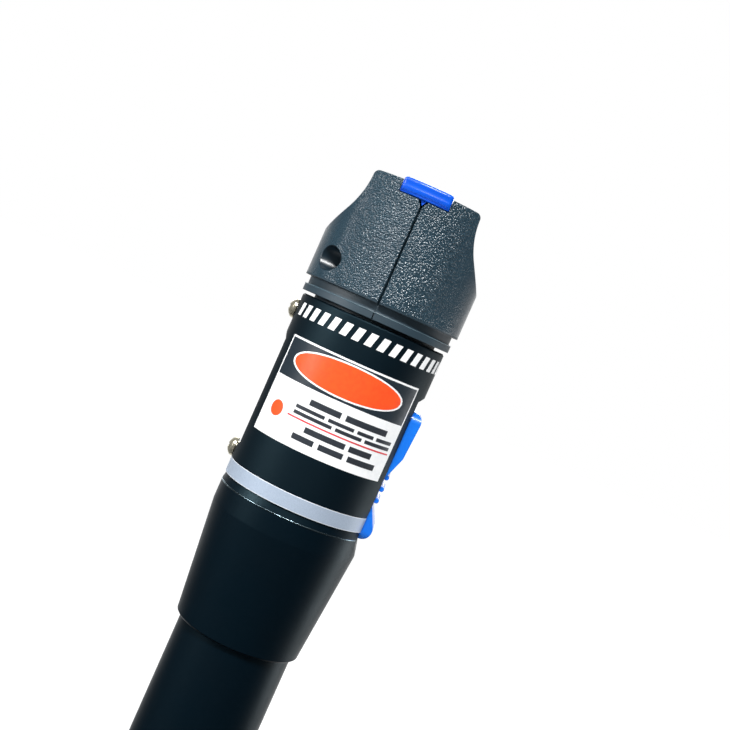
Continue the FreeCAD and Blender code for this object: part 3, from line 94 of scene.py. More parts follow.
class Finish:
    """A node material built up from a Principled shader; sizes in millimetres."""

    def __init__(self, name, colour, roughness, metallic=0.0, ior=1.5, coat=0.0):
        self.material = bpy.data.materials.new(name)
        self.material.use_nodes = True
        self.tree = self.material.node_tree
        self.shader = self.tree.nodes["Principled BSDF"]
        self.colour = colour
        self.roughness = roughness
        self.shader.inputs["Base Color"].default_value = colour
        self.shader.inputs["Roughness"].default_value = roughness
        self.shader.inputs["Metallic"].default_value = metallic
        self.shader.inputs["IOR"].default_value = ior
        self.shader.inputs["Coat Weight"].default_value = coat
        self.shader.inputs["Coat Roughness"].default_value = 0.12
        self.place = self.add("TexCoord").outputs["Object"]
        self.normal = None

    def add(self, kind, **values):
        """A new node; values set its sockets by name, or its own settings."""
        node = self.tree.nodes.new("ShaderNode" + kind)
        for key, setting in values.items():
            name = key.replace("_", " ").title()
            if name in node.inputs:
                node.inputs[name].default_value = setting
            else:
                setattr(node, key, setting)
        return node

    def link(self, source, target):
        self.tree.links.new(source, target)

    def noise(self, size, detail):
        """Smooth noise whose features are about that size."""
        node = self.add("TexNoise", scale=1 / (size * MM), detail=detail)
        self.link(self.place, node.inputs["Vector"])
        return node

    def math(self, operation, first, second=None):
        return calculate(self.tree, operation, first, second)

    def places(self):
        """The surface's own X, Y and Z sockets, in metres."""
        parts = self.add("SeparateXYZ")
        self.link(self.place, parts.inputs["Vector"])
        return [parts.outputs[axis] for axis in "XYZ"]

    def ramp(self, source, low, high, first, last):
        """Maps source from low..high to first..last, clamped."""
        node = self.add("MapRange")
        node.inputs["From Min"].default_value = low
        node.inputs["From Max"].default_value = high
        node.inputs["To Min"].default_value = first
        node.inputs["To Max"].default_value = last
        self.link(source, node.inputs["Value"])
        return node.outputs["Result"]

    def mix(self, factor, first, second):
        """A colour mix; first and second are colours or colour sockets."""
        node = self.add("Mix", data_type="RGBA")
        self.link(factor, node.inputs["Factor"])
        sockets = [socket for socket in node.inputs if socket.type == "RGBA"]
        for socket, colour in zip(sockets, (first, second)):
            if isinstance(colour, tuple):
                socket.default_value = colour
            else:
                self.link(colour, socket)
        return next(socket for socket in node.outputs if socket.type == "RGBA")

    def mottle(self, size, tint, spread=0.06):
        """Colour that drifts towards tint in patches, with roughness that drifts too."""
        patches = self.noise(size, detail=4.0).outputs["Fac"]
        factor = self.ramp(patches, 0.35, 0.65, 0.0, 1.0)
        self.link(self.mix(factor, self.colour, tint), self.shader.inputs["Base Color"])
        rough = self.ramp(patches, 0.3, 0.7, self.roughness - spread, self.roughness + spread)
        self.link(rough, self.shader.inputs["Roughness"])
        return self

    def round_corners(self, radius):
        """Softens the shading of sharp edges over that radius."""
        node = self.add("Bevel", samples=8)
        node.inputs["Radius"].default_value = radius * MM
        self.normal = node.outputs["Normal"]
        self.link(self.normal, self.shader.inputs["Normal"])
        return self

    def bump(self, height, depth):
        """Raises the surface by depth where height is 1."""
        node = self.add("Bump")
        node.inputs["Strength"].default_value = 1.0
        node.inputs["Distance"].default_value = depth * MM
        self.link(height, node.inputs["Height"])
        if self.normal is not None:
            self.link(self.normal, node.inputs["Normal"])
        self.normal = node.outputs["Normal"]
        self.link(self.normal, self.shader.inputs["Normal"])
        return self

    def grain(self, size, depth):
        """Fine even unevenness, as of blasted metal or moulded plastic."""
        return self.bump(self.noise(size, detail=2.0).outputs["Fac"], depth)


def grained_places(finish):
    """Three factors for the head: how much grain a place has, which fades towards the
    flanks; 1 above the collar; and 1 outside the counterbores."""
    x, y, z = finish.places()
    least = 0.22            # grain that is left on the flanks
    step = 0.2              # height over which the grain begins above the collar
    flanks = finish.ramp(finish.math("ABSOLUTE", x), GRAIN_FULL * MM, GRAIN_END * MM,
                         1.0, least)
    above_collar = finish.ramp(z, HEAD_COLLAR_TOP * MM, (HEAD_COLLAR_TOP + step) * MM,
                               0.0, 1.0)
    across = finish.math("SUBTRACT", finish.math("ABSOLUTE", y), BORE_PLACE * MM)
    along = finish.math("SUBTRACT", z, BORE_HEIGHT * MM)
    reach = finish.math("SQRT", finish.math("ADD", finish.math("POWER", across, 2.0),
                                            finish.math("POWER", along, 2.0)))
    edge = 0.05             # width over which a counterbore's polish ends
    off_axis = finish.ramp(reach, BORE_RADIUS * MM, (BORE_RADIUS + edge) * MM, 0.0, 1.0)
    right_side = finish.math("GREATER_THAN", x, 0.0)        # has no counterbores
    outside_bores = finish.math("MAXIMUM", right_side, off_axis)
    grained = finish.math("MULTIPLY", finish.math("MULTIPLY", flanks, above_collar),
                          outside_bores)
    return grained, above_collar, outside_bores


def leather_plastic():
    """The head's black plastic: leather grain on its front and back, a plain collar at its
    foot and polished counterbores. Inside the counterbores the colour is darker, as painted
    shade, and the raised pebbles are lighter, as painted highlights."""
    patch_size = 6.0
    warp_size, warp_reach = 0.7, 0.25
    pebble_size, pebble_depth = 0.3, 0.13
    fine_size, fine_depth = 0.14, 0.03
    finish = Finish("head_plastic", linear(38, 60, 72), 0.3)
    finish.shader.inputs["Specular IOR Level"].default_value = 0.75
    grained, above_collar, outside_bores = grained_places(finish)

    patches = finish.noise(patch_size, detail=4.0).outputs["Fac"]
    surface = finish.mix(finish.ramp(patches, 0.35, 0.65, 0.0, 1.0), finish.colour,
                         linear(34, 55, 67))
    # painted shade: inside the counterbores the colour is darker, as if in the bores' shadow
    surface = finish.mix(outside_bores, linear(14, 32, 42), surface)
    finish.round_corners(0.2)

    warp = finish.noise(warp_size, detail=2.0)
    warped = finish.add("VectorMath", operation="MULTIPLY_ADD")
    finish.link(warp.outputs["Color"], warped.inputs[0])
    warped.inputs[1].default_value = (warp_reach * MM,) * 3
    finish.link(finish.place, warped.inputs[2])
    cells = finish.add("TexVoronoi", feature="F1", scale=1 / (pebble_size * MM))
    finish.link(warped.outputs["Vector"], cells.inputs["Vector"])
    pebbles = finish.ramp(cells.outputs["Distance"], 0.05, 0.8, 1.0, 0.0)
    # painted highlights: the raised pebbles are mixed towards a lighter teal, most on the
    # front and back and less on the flanks, standing for their glints
    painted_pebble_glints = finish.math("MULTIPLY", finish.ramp(pebbles, 0.35, 0.85, 0.0, 1.0), grained)
    finish.link(finish.mix(painted_pebble_glints, surface, linear(58, 80, 92)),
                finish.shader.inputs["Base Color"])

    rough = finish.ramp(patches, 0.3, 0.7, 0.26, 0.32)
    for place, factor in ((outside_bores, 1.15), (above_collar, 1.8)):
        rough = finish.math("MULTIPLY", rough, finish.ramp(place, 0.0, 1.0, factor, 1.0))
    finish.link(rough, finish.shader.inputs["Roughness"])
    finish.bump(finish.math("MULTIPLY", pebbles, grained), pebble_depth)
    fine = finish.noise(fine_size, detail=1.0).outputs["Fac"]
    finish.bump(finish.math("MULTIPLY", fine, grained), fine_depth)
    return finish.material


def satin_black(name, roughness):
    """Black anodised aluminium with a fine blasted surface."""
    finish = Finish(name, linear(1, 13, 23), roughness, ior=1.4)
    finish.shader.inputs["Specular Tint"].default_value = (0.5, 0.86, 1.0, 1.0)
    finish.mottle(9.0, linear(1, 11, 21), spread=0.03)
    finish.round_corners(0.2)
    finish.grain(0.12, 0.006)
    return finish.material


def silver_band():
    """Silver ring with a fine flake and painted highlight lines along its top and bottom
    edges.
    """
    finish = Finish("band_silver", linear(162, 176, 194), 0.42, metallic=0.15)
    low, high = [corner.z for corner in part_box("band_ring")]
    height = finish.places()[2]
    edge = 0.16 * MM
    # painted highlights: the ring's top and bottom 0.16 mm are mixed towards near-white,
    # standing for light caught on its edges
    above = finish.ramp(height, high - edge, high, 0.0, 1.0)
    below = finish.ramp(height, low, low + edge, 1.0, 0.0)
    flake = finish.ramp(finish.noise(0.12, detail=1.0).outputs["Fac"], 0.4, 0.62, 0.0, 1.0)
    face = finish.mix(flake, finish.colour, linear(172, 185, 202))
    finish.link(finish.mix(finish.math("MAXIMUM", above, below), face, linear(240, 244, 250)),
                finish.shader.inputs["Base Color"])
    finish.round_corners(0.1)
    finish.grain(0.15, 0.004)
    return finish.material


def blue_gloss(name, colour, tint):
    """Glossy moulded plastic."""
    finish = Finish(name, colour, 0.3, coat=0.25)
    finish.mottle(5.0, tint, spread=0.05)
    finish.round_corners(0.2)
    finish.grain(0.3, 0.008)
    return finish.material


def metal(name, colour, tint, roughness, brush=0.0, metallic=1.0):
    """Bare or plated metal; brush stretches its fine marks round the pen's axis."""
    finish = Finish(name, colour, roughness, metallic=metallic)
    finish.mottle(1.5, tint, spread=0.06)
    finish.round_corners(0.08)
    if brush:
        turned = finish.add("Mapping")
        turned.inputs["Scale"].default_value = (0.05, 0.05, 1.0)
        finish.link(finish.place, turned.inputs["Vector"])
        lines = finish.add("TexNoise", scale=1 / (brush * MM), detail=2.0)
        finish.link(turned.outputs["Vector"], lines.inputs["Vector"])
        finish.bump(lines.outputs["Fac"], 0.004)
    else:
        finish.grain(0.2, 0.003)
    return finish.material


def moulded(name, colour, tint, roughness, grain_size=0.25, depth=0.008):
    """Plain moulded plastic, rubber or ceramic."""
    finish = Finish(name, colour, roughness)
    finish.mottle(3.0, tint)
    finish.round_corners(0.1)
    finish.grain(grain_size, depth)
    return finish.material


def ink(slot, name, colour, tint):
    """Screen print: a thin even coat with a faint weave of the screen in it.

    Gives a slot name along with the material.
    """
    finish = Finish(name, colour, 0.38)
    finish.mottle(0.8, tint, spread=0.05)
    finish.grain(0.1, 0.002)
    return slot, finish.material


def lens_glass():
    """Clear optical glass."""
    finish = Finish("lens_glass", (0.93, 0.97, 1.0, 1.0), 0.03, ior=1.52)
    finish.shader.inputs["Transmission Weight"].default_value = 1.0
    finish.mottle(2.0, (0.88, 0.95, 0.98, 1.0), spread=0.01)
    return finish.material


def board_green():
    """Solder mask with paler copper tracks under it."""
    finish = Finish("board_green", linear(18, 92, 52), 0.35)
    track_pitch = 6
    bricks = finish.add("TexBrick", scale=1 / (track_pitch * MM))
    bricks.inputs["Color1"].default_value = finish.colour
    bricks.inputs["Color2"].default_value = linear(14, 80, 46)
    bricks.inputs["Mortar"].default_value = linear(52, 130, 84)
    bricks.inputs["Mortar Size"].default_value = 0.03
    across = finish.add("Mapping")
    across.inputs["Rotation"].default_value = (0.0, math.radians(90), 0.0)
    finish.link(finish.place, across.inputs["Vector"])
    finish.link(across.outputs["Vector"], bricks.inputs["Vector"])
    finish.link(bricks.outputs["Color"], finish.shader.inputs["Base Color"])
    finish.grain(0.3, 0.004)
    return finish.material


def cell_jacket():
    """A plain battery jacket: dark on the lower part of the rear cell, and copper-coloured
    from there up."""
    finish = Finish("cell_jacket", linear(40, 44, 50), 0.3, metallic=0.4)
    low, high = [corner.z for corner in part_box("cell_rear")]
    edge_low, edge_high = [low + share * (high - low) for share in (0.72, 0.725)]
    copper = finish.ramp(finish.places()[2], edge_low, edge_high, 0.0, 1.0)
    finish.link(finish.mix(copper, finish.colour, linear(176, 112, 66)),
                finish.shader.inputs["Base Color"])
    finish.grain(0.5, 0.003)
    return finish.material


LEATHER = leather_plastic()
BLACK = satin_black("black_anodised", 0.42)
BARREL_BLACK = satin_black("barrel_anodised", 0.52)
# painted highlight: a light grey colour for the bead on the sleeve's collar edge, standing for
# the line of light that edge catches
EDGE = metal("painted_collar_highlight", linear(150, 172, 182), linear(134, 156, 166), 0.28)
# painted highlight: a pale grey colour for the bead on the head's flange edge, standing for
# the line of light that edge catches
FLANGE_HIGHLIGHT = moulded("painted_flange_highlight", linear(84, 104, 114), linear(66, 86, 96), 0.35, 0.4, 0.01)
SCREW = metal("screw_metal", linear(216, 211, 190), linear(200, 194, 170), 0.28, metallic=0.8)
BRASS = metal("module_brass", linear(206, 168, 98), linear(196, 156, 88), 0.3, brush=0.12)
CONTACT = metal("contact_metal", linear(222, 196, 128), linear(212, 186, 120), 0.28)
PLATED = metal("plated_metal", linear(196, 197, 194), linear(184, 186, 184), 0.32)
NICKEL = metal("receptacle_metal", linear(200, 200, 198), linear(190, 191, 190), 0.2,
               brush=0.1)
SPRING = metal("spring_steel", linear(188, 188, 184), linear(176, 177, 174), 0.3)
INNER = moulded("inner_plastic", linear(52, 54, 56), linear(46, 48, 50), 0.5)
CHIP = moulded("chip", linear(38, 38, 40), linear(32, 32, 34), 0.55, 0.15, 0.01)
RUBBER = moulded("seal_rubber", linear(28, 28, 28), linear(24, 24, 24), 0.7)
CERAMIC = moulded("ceramic", linear(243, 240, 232), linear(238, 235, 226), 0.18, 0.5, 0.002)
SLIDER_BLUE = blue_gloss("button_blue", linear(18, 122, 236), linear(12, 112, 228))
CAP_BLUE = blue_gloss("cap_blue", linear(0, 86, 208), linear(0, 76, 198))
WHITE_INK = ink("print_white", "ink_white", linear(250, 250, 250), linear(244, 245, 246))
DARK_INK = ink("print_dark", "ink_dark", linear(36, 47, 56), linear(32, 43, 52))
BAR_INK = ink("print_dark", "ink_bar", linear(50, 55, 62), linear(44, 48, 55))
ORANGE_INK = ink("print_orange", "ink_orange", linear(255, 85, 30), linear(252, 78, 26))
RED_INK = ink("print_red", "ink_red", linear(222, 60, 70), linear(214, 54, 64))
CELL_JACKET = cell_jacket()

NODE_MATERIALS = {
    "head_shell_left": LEATHER,
    "head_shell_right": LEATHER,
    "head_screws": SCREW,
    "dust_cap": CAP_BLUE,
    "receptacle": NICKEL,
    "alignment_sleeve": CERAMIC,
    "laser_module": BRASS,
    "laser_diode": PLATED,
    "focus_lens": lens_glass(),
    "lens_retainer": BRASS,
    "barrel": BARREL_BLACK,
    "band_ring": silver_band(),
    "taper_sleeve": BLACK,
    "side_screw_upper": SCREW,
    "side_screw_lower": SCREW,
    "inner_chassis": INNER,
    "circuit_board": board_green(),
    "driver_chip": CHIP,
    "slide_switch": PLATED,
    "contact_carrier": INNER,
    "front_contact": CONTACT,
    "return_contact": CONTACT,
    "slider_button": SLIDER_BLUE,
    "switch_knob": INNER,
    "cell_front": CELL_JACKET,
    "cell_rear": CELL_JACKET,
    "battery_tube": BLACK,
    "tube_seal": RUBBER,
    "tail_plug": BLACK,
    "tail_spring": SPRING,
}


def dress_nodes():
    """Gives every solid of the frame its material."""
    for name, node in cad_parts.items():
        node.data.materials.clear()
        node.data.materials.append(NODE_MATERIALS[name])


def mesh_piece(name, shape, material, body):
    """Turns a bmesh into a piece that rides on a body."""
    mesh = bpy.data.meshes.new(name)
    shape.to_mesh(mesh)
    shape.free()
    mesh.materials.append(material)
    piece = bpy.data.objects.new(name, mesh)
    bpy.context.scene.collection.objects.link(piece)
    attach(piece, body)
    return piece


# ---------------------------------------------------------------- dust cap
CAP_BAR_HEIGHT = 2.45
CAP_BAR_SPREAD = 0.27   # how much nearer the notch's walls the bar's ends come
CAP_BAR_END = 2.0       # corners of the bar further out than this belong to its ends
CAP_FACE_DEPTH = 0.1    # corners this near to its reach belong to its front and back faces
CAP_SLACK = 0.01        # so that the bar's lowest corners count too
CAP_PROFILE = (
    # below the bar's top, how far its front and back faces draw in: a finger groove
    # over a face that leans in towards its foot
    (0.7, 0.0), (1.1, 0.14), (1.35, 0.0), (1.6, 0.0), (CAP_BAR_HEIGHT, 0.3),
)


def profile_at(profile, place):
    """Straight lines between a profile's points, and level beyond its ends."""
    for (first, start), (last, end) in zip(profile, profile[1:]):
        if first <= place <= last:
            return start + (end - start) * (place - first) / (last - first)
    return profile[0][1] if place < profile[0][0] else profile[-1][1]


def dress_dust_cap():
    """The dust cap with its bar filling the notch and a finger groove in both faces."""
    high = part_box("dust_cap")[1]
    top, reach = high.z, high.y
    shape = bmesh.new()
    shape.from_mesh(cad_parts["dust_cap"].data)
    foot = top - (CAP_BAR_HEIGHT + CAP_SLACK) * MM
    for corner in shape.verts:
        if corner.co.z > foot and abs(corner.co.x) > CAP_BAR_END * MM:
            corner.co.x += math.copysign(CAP_BAR_SPREAD * MM, corner.co.x)
    for below, _ in CAP_PROFILE[:-1]:
        bmesh.ops.bisect_plane(shape, geom=shape.verts[:] + shape.edges[:] + shape.faces[:],
                               plane_co=(0, 0, top - below * MM), plane_no=(0, 0, 1))
    for corner in shape.verts:
        radius = math.hypot(corner.co.x, corner.co.y)
        if corner.co.z > foot and radius > reach - CAP_FACE_DEPTH * MM:
            drawn_in = profile_at(CAP_PROFILE, (top - corner.co.z) / MM) * MM
            corner.co.x *= 1 - drawn_in / radius
            corner.co.y *= 1 - drawn_in / radius
    bmesh.ops.recalc_face_normals(shape, faces=shape.faces)
    piece = mesh_piece("cap_moulding", shape, CAP_BLUE, "dust_cap")
    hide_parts("dust_cap")


# ---------------------------------------------------------------- raised edges coloured as painted highlight lines
EDGE_STEPS = 192
EDGE_SUNK = 0.05        # how deep an edge sits in what carries it
EDGE_FLAT = 0.4         # share of an edge's height and width that its bevels leave


def fine_edge(name, radius, height, material, half_width=0.1, proud=0.05, opening=0.0):
    """A fine raised edge that runs round the pen; sizes in millimetres.

    opening is the half-angle, in degrees, that it leaves free at the slide button.
    """
    inner, shoulder, crest = radius - EDGE_SUNK, radius + EDGE_FLAT * proud, radius + proud
    flat = EDGE_FLAT * half_width
    section = ((inner, -half_width), (shoulder, -half_width), (crest, -flat),
               (crest, flat), (shoulder, half_width), (inner, half_width))
    shape = bmesh.new()
    rings = []
    start = math.radians(opening)
    turn = 2 * (math.pi - start)
    for step in range(EDGE_STEPS + 1 if opening else EDGE_STEPS):
        angle = start + turn * step / EDGE_STEPS
        rings.append([
            shape.verts.new(
                Vector((r * math.cos(angle), r * math.sin(angle), height + z)) * MM)
            for r, z in section
        ])
    for ring, following in zip(rings, rings[1:] if opening else rings[1:] + rings[:1]):
        for k in range(len(section)):
            after = (k + 1) % len(section)
            shape.faces.new((ring[k], following[k], following[after], ring[after]))
    if opening:
        shape.faces.new(rings[0])
        shape.faces.new(rings[-1])
    for face in shape.faces:
        face.smooth = True
    bmesh.ops.recalc_face_normals(shape, faces=shape.faces)
    mesh_piece(name, shape, material, "housing")


def paint_highlight_lines():
    """Painted highlight lines: light beads on the sleeve's collar edge and on the head's
    flange, coloured to stand for the light that these edges catch."""
    sleeve_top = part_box("taper_sleeve")[1].z / MM
    fine_edge("collar_highlight_line", SLEEVE_EDGE_RADIUS, sleeve_top - SLEEVE_EDGE_DROP, EDGE,
              opening=SLOT_OPENING)
    fine_edge("flange_highlight_line", BARREL_RADIUS + FLANGE_PROUD, FLANGE_TOP - FLANGE_HIGHLIGHT_DROP, FLANGE_HIGHLIGHT,
              half_width=0.08, proud=0.04)


# ---------------------------------------------------------------- print on the barrel
PRINT_TURN = 2.4        # degrees from the front to the middle of the print, towards +X
INK_LIFT = 0.012        # ink's underside above the barrel
INK_THICKNESS = 0.02
SEGMENT = 0.35          # longest step along the circumference
WELD_DISTANCE = 1e-7    # metres


def print_patch(name, ink_used, left, right, bottom, top, slant=0.0, layer=0, segments=None):
    """A thin curved patch of ink that rides on the housing.

    left and right are distances along the circumference from the print's middle, and
    bottom and top heights above the barrel's lower edge: numbers, or functions of the
    distance. slant leans the patch's ends by that much over its height.
    """
    steps = segments or max(2, math.ceil((right - left) / SEGMENT))
    inner = BARREL_RADIUS + INK_LIFT + layer * INK_THICKNESS
    outer = inner + INK_THICKNESS
    grid = bmesh.new()

    def corner(along, height, radius, lean):
        angle = math.radians(PRINT_TURN) + (along + lean) / BARREL_RADIUS
        place = Vector((radius * math.sin(angle), -radius * math.cos(angle),
                        BARREL_LOW.z + height))
        return grid.verts.new(place * MM)

    rings = []
    for i in range(steps + 1):
        along = left + (right - left) * i / steps
        low = bottom(along) if callable(bottom) else bottom
        high = top(along) if callable(top) else top
        rings.append([
            corner(along, low, outer, -slant / 2), corner(along, high, outer, slant / 2),
            corner(along, high, inner, slant / 2), corner(along, low, inner, -slant / 2),
        ])
    for a, b in zip(rings, rings[1:]):
        for k in range(len(a)):
            following = (k + 1) % len(a)
            grid.faces.new((a[k], b[k], b[following], a[following]))
    grid.faces.new(rings[0])
    grid.faces.new(list(reversed(rings[-1])))
    bmesh.ops.remove_doubles(grid, verts=grid.verts, dist=WELD_DISTANCE)
    bmesh.ops.recalc_face_normals(grid, faces=grid.faces)
    slot, material = ink_used
    mesh_piece(name, grid, material, "housing")


def print_ellipse(name, ink_used, place, height, half_width, half_height, layer, segments):
    """An ellipse of ink whose middle is at that place and height."""
    def edge(sign):
        def at(along):
            inside = max(0.0, 1 - ((along - place) / half_width) ** 2)
            return height + sign * half_height * math.sqrt(inside)
        return at

    print_patch(name, ink_used, place - half_width, place + half_width, edge(-1), edge(1),
                layer=layer, segments=segments)


def print_label():
    """The label: a framed dark field with an orange ellipse, over a white field with a
    disc, a line and plain bars. It carries no words."""
    half = 12.4                     # label's half-width along the circumference
    foot, divide, head = 6.2, 15.45, 21.75
    line = 0.3                      # frame's line
    print_patch("label_field_white", WHITE_INK, -half, half, foot, divide)
    print_patch("label_field_dark", DARK_INK, -half + line, half - line, divide, head - line)
    print_patch("label_frame_top", WHITE_INK, -half, half, head - line, head)
    for side, edge in (("left", -half), ("right", half - line)):
        print_patch(f"label_frame_{side}", WHITE_INK, edge, edge + line, divide, head - line)

    middle = 18.55
    wide, tall = 9.95, 2.72
    rim_side, rim = 0.416, 0.26     # rim's width at the ellipse's ends, and above and below
    print_ellipse("label_ellipse_rim", WHITE_INK, 0.0, middle, wide, tall,
                  layer=1, segments=96)
    print_ellipse("label_ellipse", ORANGE_INK, 0.0, middle, wide - rim_side, tall - rim,
                  layer=2, segments=96)

    disc_place, disc_height, disc_radius = -8.99, 10.6, 1.25
    print_ellipse("label_disc", ORANGE_INK, disc_place, disc_height, disc_radius, disc_radius,
                  layer=1, segments=40)
    line_left, line_right, line_foot, line_head = -6.6, 11.7, 10.46, 10.7
    print_patch("label_line", RED_INK, line_left, line_right, line_foot, line_head, layer=1)

    bars = (
        # ends of each bar in a row, the row's foot, bars' height
        (((-3.9, 1.2), (2.0, 9.5)), 13.1, 0.95),
        (((-5.8, -0.9), (-0.3, 3.9)), 12.0, 0.55),
        (((4.5, 7.4), (8.0, 11.4)), 12.0, 0.55),
        (((-5.8, 0.6), (1.2, 5.6)), 11.1, 0.55),
        (((6.2, 11.4),), 11.1, 0.55),
        (((-3.0, 3.6), (4.3, 8.4)), 9.05, 0.9),
        (((-4.5, -0.9), (-0.1, 3.9)), 7.55, 0.9),
        (((4.7, 9.9),), 7.55, 0.9),
    )
    for row, (spans, bottom, tall_bar) in enumerate(bars):
        for k, (left, right) in enumerate(spans):
            print_patch(f"label_bar_{row}_{k}", BAR_INK, left, right, bottom,
                        bottom + tall_bar, layer=1)


def print_band():
    """A row of slanting white bars round the barrel above the label."""
    bottom, top = 24.65, 26.7
    count, first, pitch = 19, -14.2, 2.05
    width, slant = 1.15, 0.55
    for k in range(count):
        start = first + k * pitch
        print_patch(f"band_bar_{k}", WHITE_INK, start, start + width, bottom, top, slant=slant)


# ---------------------------------------------------------------- stage, light, camera
WHITE = (1.0, 1.0, 1.0, 1.0)
ROOM_FRONT = 0.03       # what reflections see in front of the pen and at its sides
ROOM_BACK = 1.3         # how much brighter it is straight behind the pen
ROOM_NARROW = 4.0       # power by which it fades from there to the sides
SOFT_LIGHT = 0.4        # what lights the pen from all around
SOFT_COLOUR = (0.92, 0.97, 1.0, 1.0)
FLOOR_SIDE = 6.0        # metres
FLOOR_GREY = (0.35, 0.35, 0.35, 1.0)    # under the glow, as the camera sees it
FLOOR_BOUNCE = (0.5, 0.5, 0.5, 1.0)     # as it throws light back at the pen
FLOOR_GLOW = 0.99       # keeps the floor white where the lamps don't reach it
LAMP_PART = 0.5         # how much less it glows near the pen, where they do
LAMP_REACH = 0.4        # metres


def ray_kinds(tree):
    """1 for rays that see the plain white backdrop, which are camera and transmitted rays,
    and 1 for reflected ones."""
    rays = tree.nodes.new("ShaderNodeLightPath")
    straight = calculate(tree, "MAXIMUM", rays.outputs["Is Camera Ray"],
                         rays.outputs["Is Transmission Ray"])
    return straight, rays.outputs["Is Glossy Ray"]


def room_strength(tree, direction):
    """What reflections see: a dim room in front, rising to a bright backdrop behind."""
    parts = tree.nodes.new("ShaderNodeSeparateXYZ")
    tree.links.new(direction, parts.inputs["Vector"])
    strength = parts.outputs["Y"]
    for operation, number in (("MAXIMUM", 0.0), ("POWER", ROOM_NARROW),
                              ("MULTIPLY", ROOM_BACK), ("ADD", ROOM_FRONT)):
        strength = calculate(tree, operation, strength, number)
    return strength


def chain(tree, first, *later):
    """Shaders mixed one over another: later holds (factor socket, shader output)."""
    current = first
    for factor, shader in later:
        mix = tree.nodes.new("ShaderNodeMixShader")
        tree.links.new(factor, mix.inputs["Fac"])
        tree.links.new(current, mix.inputs[1])
        tree.links.new(shader, mix.inputs[2])
        current = mix.outputs["Shader"]
    return current


def build_world():
    """A studio: white to the camera, a room to reflections, soft light to the rest."""
    world = bpy.data.worlds.new("studio")
    bpy.context.scene.world = world
    world.use_nodes = True
    tree = world.node_tree
    tree.nodes.clear()

    def background(strength, colour=WHITE):
        node = tree.nodes.new("ShaderNodeBackground")
        node.inputs["Color"].default_value = colour
        node.inputs["Strength"].default_value = strength
        return node

    direction = tree.nodes.new("ShaderNodeTexCoord").outputs["Generated"]
    straight, glossy = ray_kinds(tree)
    room = background(1.0)
    tree.links.new(room_strength(tree, direction), room.inputs["Strength"])
    soft = background(SOFT_LIGHT, SOFT_COLOUR)
    output = tree.nodes.new("ShaderNodeOutputWorld")
    tree.links.new(chain(tree, soft.outputs["Background"],
                         (glossy, room.outputs["Background"]),
                         (straight, background(1.0).outputs["Background"])),
                   output.inputs["Surface"])


def build_floor():
    """A wide pale floor that looks white but keeps the pen's shadow: what the lamps don't
    give it with distance, it glows."""
    bpy.ops.mesh.primitive_plane_add(size=FLOOR_SIDE, location=(0, 0, 0))
    floor = bpy.context.object
    floor.name = "floor"
    material = bpy.data.materials.new("floor_pale")
    material.use_nodes = True
    tree = material.node_tree
    tree.nodes.clear()

    def matt(colour):
        node = tree.nodes.new("ShaderNodeBsdfDiffuse")
        node.inputs["Color"].default_value = colour
        return node.outputs["BSDF"]

    def emission(strength):
        node = tree.nodes.new("ShaderNodeEmission")
        tree.links.new(strength, node.inputs["Strength"])
        return node.outputs["Emission"]

    def from_pen(operation, output):
        node = tree.nodes.new("ShaderNodeVectorMath")
        node.operation = operation
        tree.links.new(place, node.inputs[0])
        return node.outputs[output]

    place = tree.nodes.new("ShaderNodeNewGeometry").outputs["Position"]
    reach = calculate(tree, "DIVIDE", from_pen("LENGTH", "Value"), LAMP_REACH)
    falloff = calculate(tree, "ADD", calculate(tree, "POWER", reach, 2.0), 1.0)
    lamp_light = calculate(tree, "DIVIDE", LAMP_PART, falloff)
    seen = tree.nodes.new("ShaderNodeAddShader")
    tree.links.new(matt(FLOOR_GREY), seen.inputs[0])
    tree.links.new(emission(calculate(tree, "SUBTRACT", FLOOR_GLOW, lamp_light)),
                   seen.inputs[1])
    room = emission(room_strength(tree, from_pen("NORMALIZE", "Vector")))
    straight, glossy = ray_kinds(tree)
    output = tree.nodes.new("ShaderNodeOutputMaterial")
    tree.links.new(chain(tree, matt(FLOOR_BOUNCE), (glossy, room),
                         (straight, seen.outputs["Shader"])), output.inputs["Surface"])
    floor.data.materials.append(material)


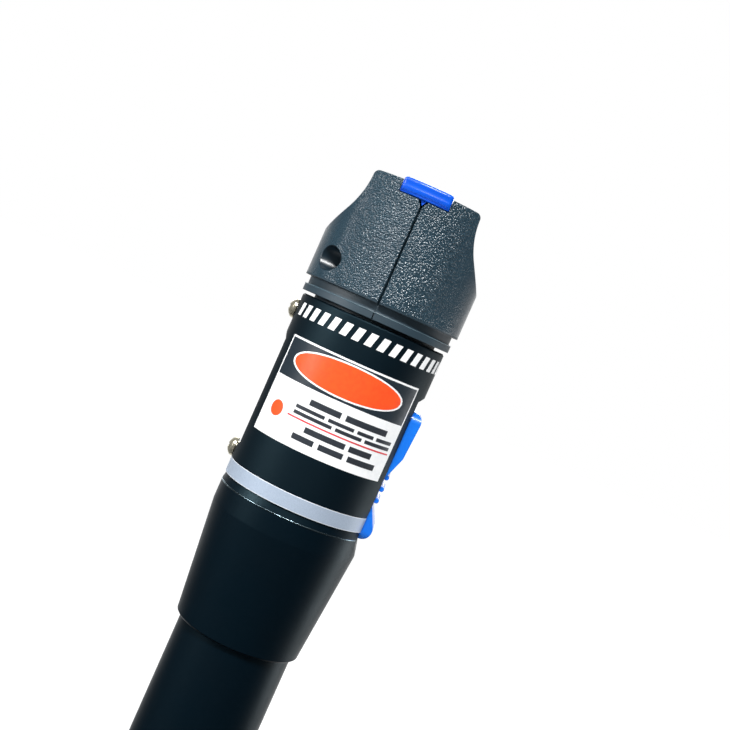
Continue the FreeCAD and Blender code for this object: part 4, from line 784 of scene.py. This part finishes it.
def add_lamp(name, place, aim, size, power):
    """A softbox; place, aim, width and height in millimetres, power in watts."""
    data = bpy.data.lights.new(name, "AREA")
    data.shape = "RECTANGLE"
    data.size, data.size_y = [side * MM for side in size]
    data.energy = power
    lamp = bpy.data.objects.new(name, data)
    bpy.context.scene.collection.objects.link(lamp)
    lamp.location = Vector(place) * MM
    direction = (Vector(aim) - Vector(place)).normalized()
    lamp.rotation_euler = direction.to_track_quat("-Z", "Y").to_euler()


def build_light():
    """Softboxes aimed at the barrel."""
    target = (0, 0, 145)
    add_lamp("key_softbox", (-12, -280, 457), target, (200, 36), 2.3)
    add_lamp("left_softbox", (-330, -190, 230), target, (120, 160), 0.8)
    add_lamp("right_softbox", (290, 150, 70), target, (120, 140), 0.17)
    add_lamp("back_softbox", (-60, 380, 360), target, (320, 320), 2.0)


def build_camera():
    """The photographed view: close by, a little above the band, rolled so that the head
    leans to the right."""
    distance = 187.1                    # pen's axis to the camera
    eye_height = 154.0
    turn = math.radians(PRINT_TURN)     # camera's place round the pen, towards +X
    down = math.radians(2.08)
    roll = math.radians(23.97)
    sideways = 1.35                     # optical axis to the right of the pen's axis
    ahead = Vector((-math.sin(turn), math.cos(turn), 0))
    right = Vector((math.cos(turn), math.sin(turn), 0))
    view = ahead * math.cos(down) - Vector((0, 0, 1)) * math.sin(down)
    upward = right.cross(view)
    rolled_right = right * math.cos(roll) + upward * math.sin(roll)
    rolled_up = upward * math.cos(roll) - right * math.sin(roll)
    place = right * sideways - ahead * distance + Vector((0, 0, eye_height))

    data = bpy.data.cameras.new("camera")
    data.lens = 58.44
    data.sensor_width = 36.0
    data.clip_start = 0.01
    data.clip_end = 20.0
    camera = bpy.data.objects.new("camera", data)
    bpy.context.scene.collection.objects.link(camera)
    turned = Matrix((rolled_right, rolled_up, -view)).transposed().to_4x4()
    camera.matrix_world = Matrix.Translation(place * MM) @ turned
    bpy.context.scene.camera = camera


dress_nodes()
dress_dust_cap()
paint_highlight_lines()
print_label()
print_band()
build_world()
build_floor()
build_light()
build_camera()
bpy.context.scene.view_settings.view_transform = "Standard"
